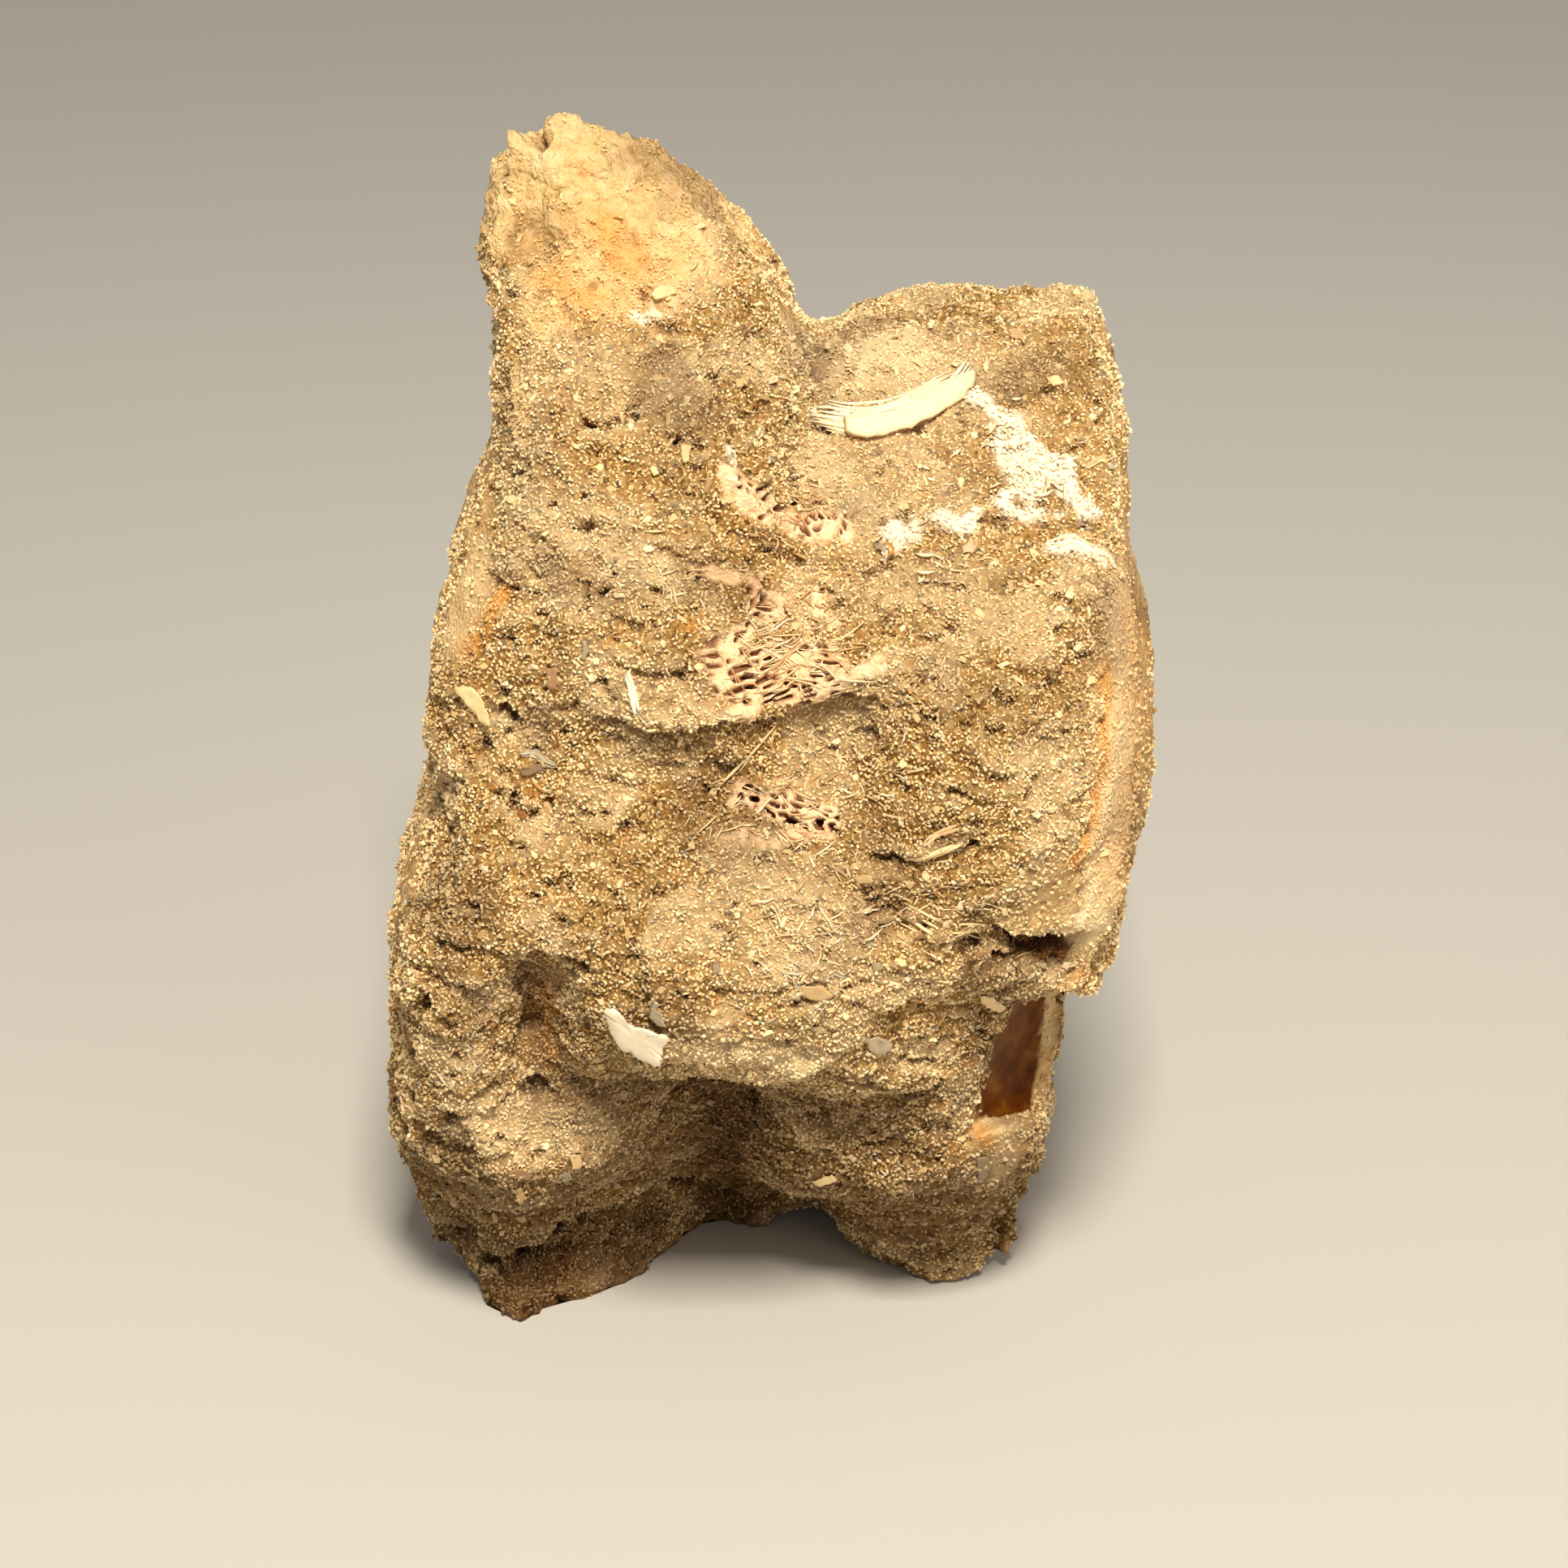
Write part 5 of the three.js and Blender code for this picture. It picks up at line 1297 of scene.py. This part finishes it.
def strand(path, up, half_width, half_depth, chance, sides=6):
    """A fibre along a path, thinner at both ends, with uneven sides."""
    path = np.asarray(path, float)
    ahead = np.gradient(path, axis=0)
    ahead /= np.linalg.norm(ahead, axis=1, keepdims=True)
    across = np.cross(ahead, up)
    across /= np.linalg.norm(across, axis=1, keepdims=True)
    out = np.cross(across, ahead)
    along = np.linspace(0, 1, len(path))
    taper = np.minimum(1, 0.35 + 3 * np.minimum(along, 1 - along))
    angle = np.arange(sides) * 2 * math.pi / sides
    rings = []
    for spot, side, rise, share in zip(path, across, out, taper):
        rough = share * chance.uniform(0.75, 1.2, (sides, 1))
        rings.append(spot + rough * (
            np.cos(angle)[:, None] * side * half_width + np.sin(angle)[:, None] * rise * half_depth
        ))
    return closed_rings(rings)


def lined_up(path, count):
    """So many places evenly along a path."""
    path = np.asarray(path, float)
    length = np.concatenate([[0], np.cumsum(np.linalg.norm(np.diff(path, axis=0), axis=1))])
    wanted = np.linspace(0, length[-1], count)
    return np.stack([np.interp(wanted, length, path[:, k]) for k in range(path.shape[1])], axis=1)


class Parts:
    """Small closed shapes gathered into one piece, each with its hue and tone."""

    def __init__(self):
        self.points, self.faces, self.hue, self.tone, self.count = [], [], [], [], 0

    def take(self, shape, hue, tone):
        points, faces = shape
        self.points.append(within_cad_box(points))
        self.faces.append(faces + self.count)
        self.hue.append(np.full(len(points), hue))
        self.tone.append(np.full(len(points), tone))
        self.count += len(points)

    def piece(self, name, finish):
        masks = {"hue": np.concatenate(self.hue), "tone": np.concatenate(self.tone)}
        made = mesh_piece(name, np.concatenate(self.points), np.concatenate(self.faces), masks)
        made.data.materials.append(finish)
        return made


class Ground:
    """The carved stone, to lay small parts on."""

    def __init__(self, piece):
        points = values_of(piece.data.vertices, "co", 3) / MM - LAYOUT_SHIFT
        faces = values_of(piece.data.polygons, "vertices", 3).astype(int)
        self.tree = BVHTree.FromPolygons(points.tolist(), faces.tolist(), all_triangles=True)

    def under(self, spot):
        """The depth of the front face at [x, z], or nothing beside the stone."""
        hit = sighted(self.tree, spot)
        return hit and [spot[0], hit.y, spot[1]]


def laid_bundles(ground, finish):
    """Splinters and laths: bundles of strands side by side along a path on the stone."""
    parts, chance = Parts(), np.random.default_rng(21)
    for bundle in BUNDLES.values():
        for index in range(bundle["strands"]):
            start, end = chance.uniform(0, 0.12), chance.uniform(0.86, 1)
            first, last = int(start * STRAND_SPOTS), max(int(end * STRAND_SPOTS), 8)
            path = lined_up(bundle["path"], STRAND_SPOTS)[first:last]
            run = np.gradient(path, axis=0)
            sideways = np.stack([-run[:, 1], run[:, 0]], axis=1)
            sideways /= np.linalg.norm(sideways, axis=1, keepdims=True)
            share = (index + 0.5) / bundle["strands"] * 2 - 1
            wave = np.cumsum(chance.normal(0, 0.012, len(path)))
            path = path + sideways * (share * bundle["spread"] + wave + chance.normal(0, 0.03))[:, None]
            spots = np.array([ground.under(spot) for spot in path])
            padded = np.pad(spots[:, 1], EVENED_OVER // 2, "edge")
            spots[:, 1] = np.convolve(padded, np.ones(EVENED_OVER) / EVENED_OVER, "valid")
            lift = bundle["lift"] * (1 - 0.5 * share * share) * chance.uniform(0.7, 1.15)
            thick = bundle["thick"] * chance.uniform(0.75, 1.25)
            shape = strand(spots[::2] + TOWARDS_LIGHT * lift, TOWARDS_LIGHT, thick, 0.6 * thick, chance)
            parts.take(shape, bundle["hue"] + chance.uniform(-0.05, 0.05), chance.uniform(0.3, 1))
    return parts.piece("splinters_of_bone", finish)


def laid_fibres(ground, finish):
    """Thin fibres strewn over the sand, most of them along the bone they broke from."""
    parts, chance = Parts(), np.random.default_rng(23)
    for middle, around, direction, spread, count, length, thick, hue in FIBRES:
        for _ in range(count):
            turn = math.radians(chance.normal(direction, spread))
            bend = chance.normal(0, 0.5)
            start = np.array(middle) + chance.normal(0, 0.5 * around, 2)
            steps = np.arange(FIBRE_SPOTS) / (FIBRE_SPOTS - 1)
            turns = turn + bend * steps
            run = length * chance.uniform(0.4, 1.3) / FIBRE_SPOTS
            flat = start + np.cumsum(np.stack([np.cos(turns), np.sin(turns)], axis=1) * run, axis=0)
            spots = [ground.under(spot) for spot in flat]
            if None in spots or np.ptp(np.array(spots)[:, 1]) > 0.8 * length:
                continue
            width = thick * chance.uniform(0.8, 2.2)
            spots = lined_up(spots, FIBRE_SPOTS) + TOWARDS_LIGHT * chance.uniform(0.06, 0.2)
            parts.take(strand(spots, TOWARDS_LIGHT, width, 0.7 * width, chance, sides=4),
                       hue + chance.uniform(-0.2, 0.2), chance.uniform(0.2, 1))
    return parts.piece("fibres_of_bone", finish)


def laid_flakes(ground, finish):
    """Thin plates with broken edges, each bedded in the sand by its lower side."""
    parts, chance = Parts(), np.random.default_rng(22)
    for hue, lift, tone, outline in FLAKES.values():
        corners = np.array(outline)
        count = 4 * len(corners)
        edge = lined_up(np.concatenate([corners, corners[:1]]), count + 1)[:-1]
        edge += chance.normal(0, FLAKE_RAGGED, edge.shape)
        middle = edge.mean(axis=0)
        spots = np.array([ground.under(spot) for spot in edge])
        slope = np.linalg.lstsq(np.c_[edge - middle, np.ones(count)], spots[:, 1], rcond=None)[0]
        above = spots[:, 1] - np.c_[edge - middle, np.ones(count)] @ slope
        slope[2] += np.quantile(above, 0.05)
        width = np.sqrt(np.prod(np.ptp(edge, axis=0)))
        thick = 0.05 + 0.05 * width
        rings = []
        for share, side in FLAKE_SECTION:
            flat = middle + (edge - middle) * share
            deep = (flat - middle) @ slope[:2] + slope[2]
            ring = np.stack([flat[:, 0], deep, flat[:, 1]], axis=1)
            uneven = FLAKE_UNEVEN * noise(ring, 0.7, 71)[:, None]
            uneven = uneven + share**3 * chance.normal(0, 0.015, (count, 1))
            rings.append(ring + TOWARDS_LIGHT * (lift + thick * side + uneven))
        drawn = chance.uniform(0.12, 0.45)
        parts.take(closed_rings(rings), hue, tone or drawn)
    return parts.piece("flakes_of_bone", finish)


# ---------------------------------------------------------------- the pieces

def carved_vertebra():
    """The whole stone as one mesh, thinned to the triangles that show its carving best."""
    stone = Stone()
    masks = carve(stone)
    piece = mesh_piece("vertebra_stone", stone.points, stone.faces, masks)
    thinned = piece.modifiers.new("thinned", "DECIMATE")
    thinned.ratio = STONE_TRIANGLES / len(stone.faces)
    applied(piece)
    piece.data.materials.clear()
    piece.data.materials.append(stone_finish())
    where = within_cad_box(values_of(piece.data.vertices, "co", 3) / MM - LAYOUT_SHIFT)
    placed = (where + LAYOUT_SHIFT) * MM
    piece.data.vertices.foreach_set("co", placed.astype(np.float32).ravel())
    return piece, where


def grain_settings(shared, spacing, smallest, largest, seed, **others):
    """What the scatter tree is given for one kind of grain. Sizes are in millimetres."""
    return shared | {
        "Spacing": spacing * MM, "Smallest": np.multiply(smallest, MM),
        "Largest": np.multiply(largest, MM), "Seed": seed,
    } | others


def laid_sand(vertebra, where):
    """Every piece of sand, chips and crumbs: the front in bands, and then the back."""
    facing = values_of(vertebra.data.vertices, "normal", 3)
    sandy, chalk = (
        values_of(vertebra.data.attributes[name].data, "value", 1) for name in ("sandy", "chalk")
    )
    front = (facing[:, 1] < 0.1) & (where[:, 1] < 1) | (facing[:, 2] > 0.35) & (where[:, 2] > 58)
    off_floor = where[:, 2] > GRAIN_FLOOR
    grain = grain_shape()
    sand = {
        "tree": scatter_tree(), "Grain": grain, "Finish": sand_finish(), "Density": GRAIN_DENSITY,
        "Turn": GRAIN_TURN, "Lowest": GRAIN_SEAT[0] * MM, "Highest": GRAIN_SEAT[1] * MM,
    }
    laid = []
    for seed, (name, (low, high, spacing, sizes)) in enumerate(SAND_BANDS.items()):
        here = sandy * front * off_floor * (where[:, 2] >= low) * (where[:, 2] < high)
        settings = grain_settings(sand, spacing, *(size * GRAIN_SHAPE for size in sizes), seed)
        laid.append(laid_grains(name, vertebra, here, settings))
    settings = grain_settings(
        sand, BACK_GRAIN_SPACING, *(size * GRAIN_SHAPE for size in BACK_GRAIN_SIZES), 9,
    )
    laid.append(laid_grains("sand_of_the_back", vertebra, sandy * ~front * off_floor, settings))
    spacing, density, smallest, largest = CHIPS
    settings = grain_settings(sand, spacing, smallest, largest, 31, Density=density, Turn=CHIP_TURN,
                              Lowest=0.02 * MM, Highest=0.12 * MM)
    laid.append(laid_grains("chips_in_the_sand", vertebra, sandy * front * off_floor, settings))
    spacing, density, smallest, largest = CRUMBS
    settings = grain_settings(sand, spacing, smallest, largest, 32, Density=density, Lowest=0,
                              Highest=0.2 * MM)
    on_chalk = np.where(chalk > LEAST_CHALK, chalk, 0) * front
    laid.append(laid_grains("chalky_crumbs", vertebra, on_chalk, settings))
    bpy.data.objects.remove(grain)
    return laid


vertebra_stone, where = carved_vertebra()
pieces = [vertebra_stone, *laid_sand(vertebra_stone, where)]
give_six_charts(vertebra_stone)
ground, bone = Ground(vertebra_stone), broken_bone_finish()
pieces += [laid_bundles(ground, bone), laid_fibres(ground, bone), laid_flakes(ground, bone)]


# ---------------------------------------------------------------- stage, light and camera

FLOOR_REACH = 6000.0
WORLD_STRENGTH = 0.32
# The camera's aim from the middle of the floor, how high it looks from, its distance and its lens.
CAMERA_AIM = Vector((1.33, -0.28, 35.35)) * MM
CAMERA_ELEVATION = math.radians(26)
CAMERA_DISTANCE = 254 * MM
CAMERA_LENS = 89.1


def lamp(name, place, size, power, colour, target=(0, 0, 0.04)):
    """A square soft light, turned to the middle of the stone."""
    light = bpy.data.lights.new(name, "AREA")
    light.size = size
    light.energy = power
    light.color = linear(colour)[:3]
    holder = bpy.data.objects.new(name, light)
    holder.location = place
    holder.rotation_euler = (Vector(place) - Vector(target)).to_track_quat("Z", "Y").to_euler()
    bpy.context.scene.collection.objects.link(holder)


def set_stage():
    """A pale matt floor, a key light from the front, a broad fill from the right and a soft sky."""
    floor = mesh_piece("floor", np.array([
        [-FLOOR_REACH, -FLOOR_REACH, 0], [FLOOR_REACH, -FLOOR_REACH, 0],
        [FLOOR_REACH, FLOOR_REACH, 0], [-FLOOR_REACH, FLOOR_REACH, 0],
    ]), np.array([[0, 1, 2], [0, 2, 3]]))
    material, tree = new_material("pale_matt_board")
    shader = add(tree, "ShaderNodeBsdfPrincipled", {"Base Color": linear("#CDC9C1"), "Roughness": 0.9})
    add(tree, "ShaderNodeOutputMaterial", {"Surface": shader})
    floor.data.materials.append(material)
    world = bpy.data.worlds.new("studio")
    bpy.context.scene.world = world
    world.use_nodes = True
    sky = world.node_tree.nodes["Background"]
    sky.inputs["Color"].default_value = linear("#E9E6E0")
    sky.inputs["Strength"].default_value = WORLD_STRENGTH
    lamp("key", (0.02, -0.28, 0.43), 0.09, 3.1, "#FFF6E6")
    lamp("fill", (0.9, -0.8, 0.45), 0.9, 3.0, "#FFF6EA")
    bpy.context.scene.view_settings.view_transform = "Standard"


def set_camera():
    """The camera in front of the broken face, looking down at it a little."""
    low, high = (Vector(corner) for corner in cad_box)
    target = Vector(((low.x + high.x) / 2, (low.y + high.y) / 2, 0)) + CAMERA_AIM
    back = Vector((0, -math.cos(CAMERA_ELEVATION), math.sin(CAMERA_ELEVATION)))
    camera = bpy.data.objects.new("camera", bpy.data.cameras.new("camera"))
    camera.data.lens = CAMERA_LENS
    camera.data.sensor_width = 36
    camera.data.clip_start = 0.01
    camera.location = target + CAMERA_DISTANCE * back
    camera.rotation_euler = (camera.location - target).to_track_quat("Z", "Y").to_euler()
    bpy.context.scene.collection.objects.link(camera)
    bpy.context.scene.camera = camera


set_stage()
set_camera()

for piece in pieces:
    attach(piece, "root")
    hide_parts("vertebra")
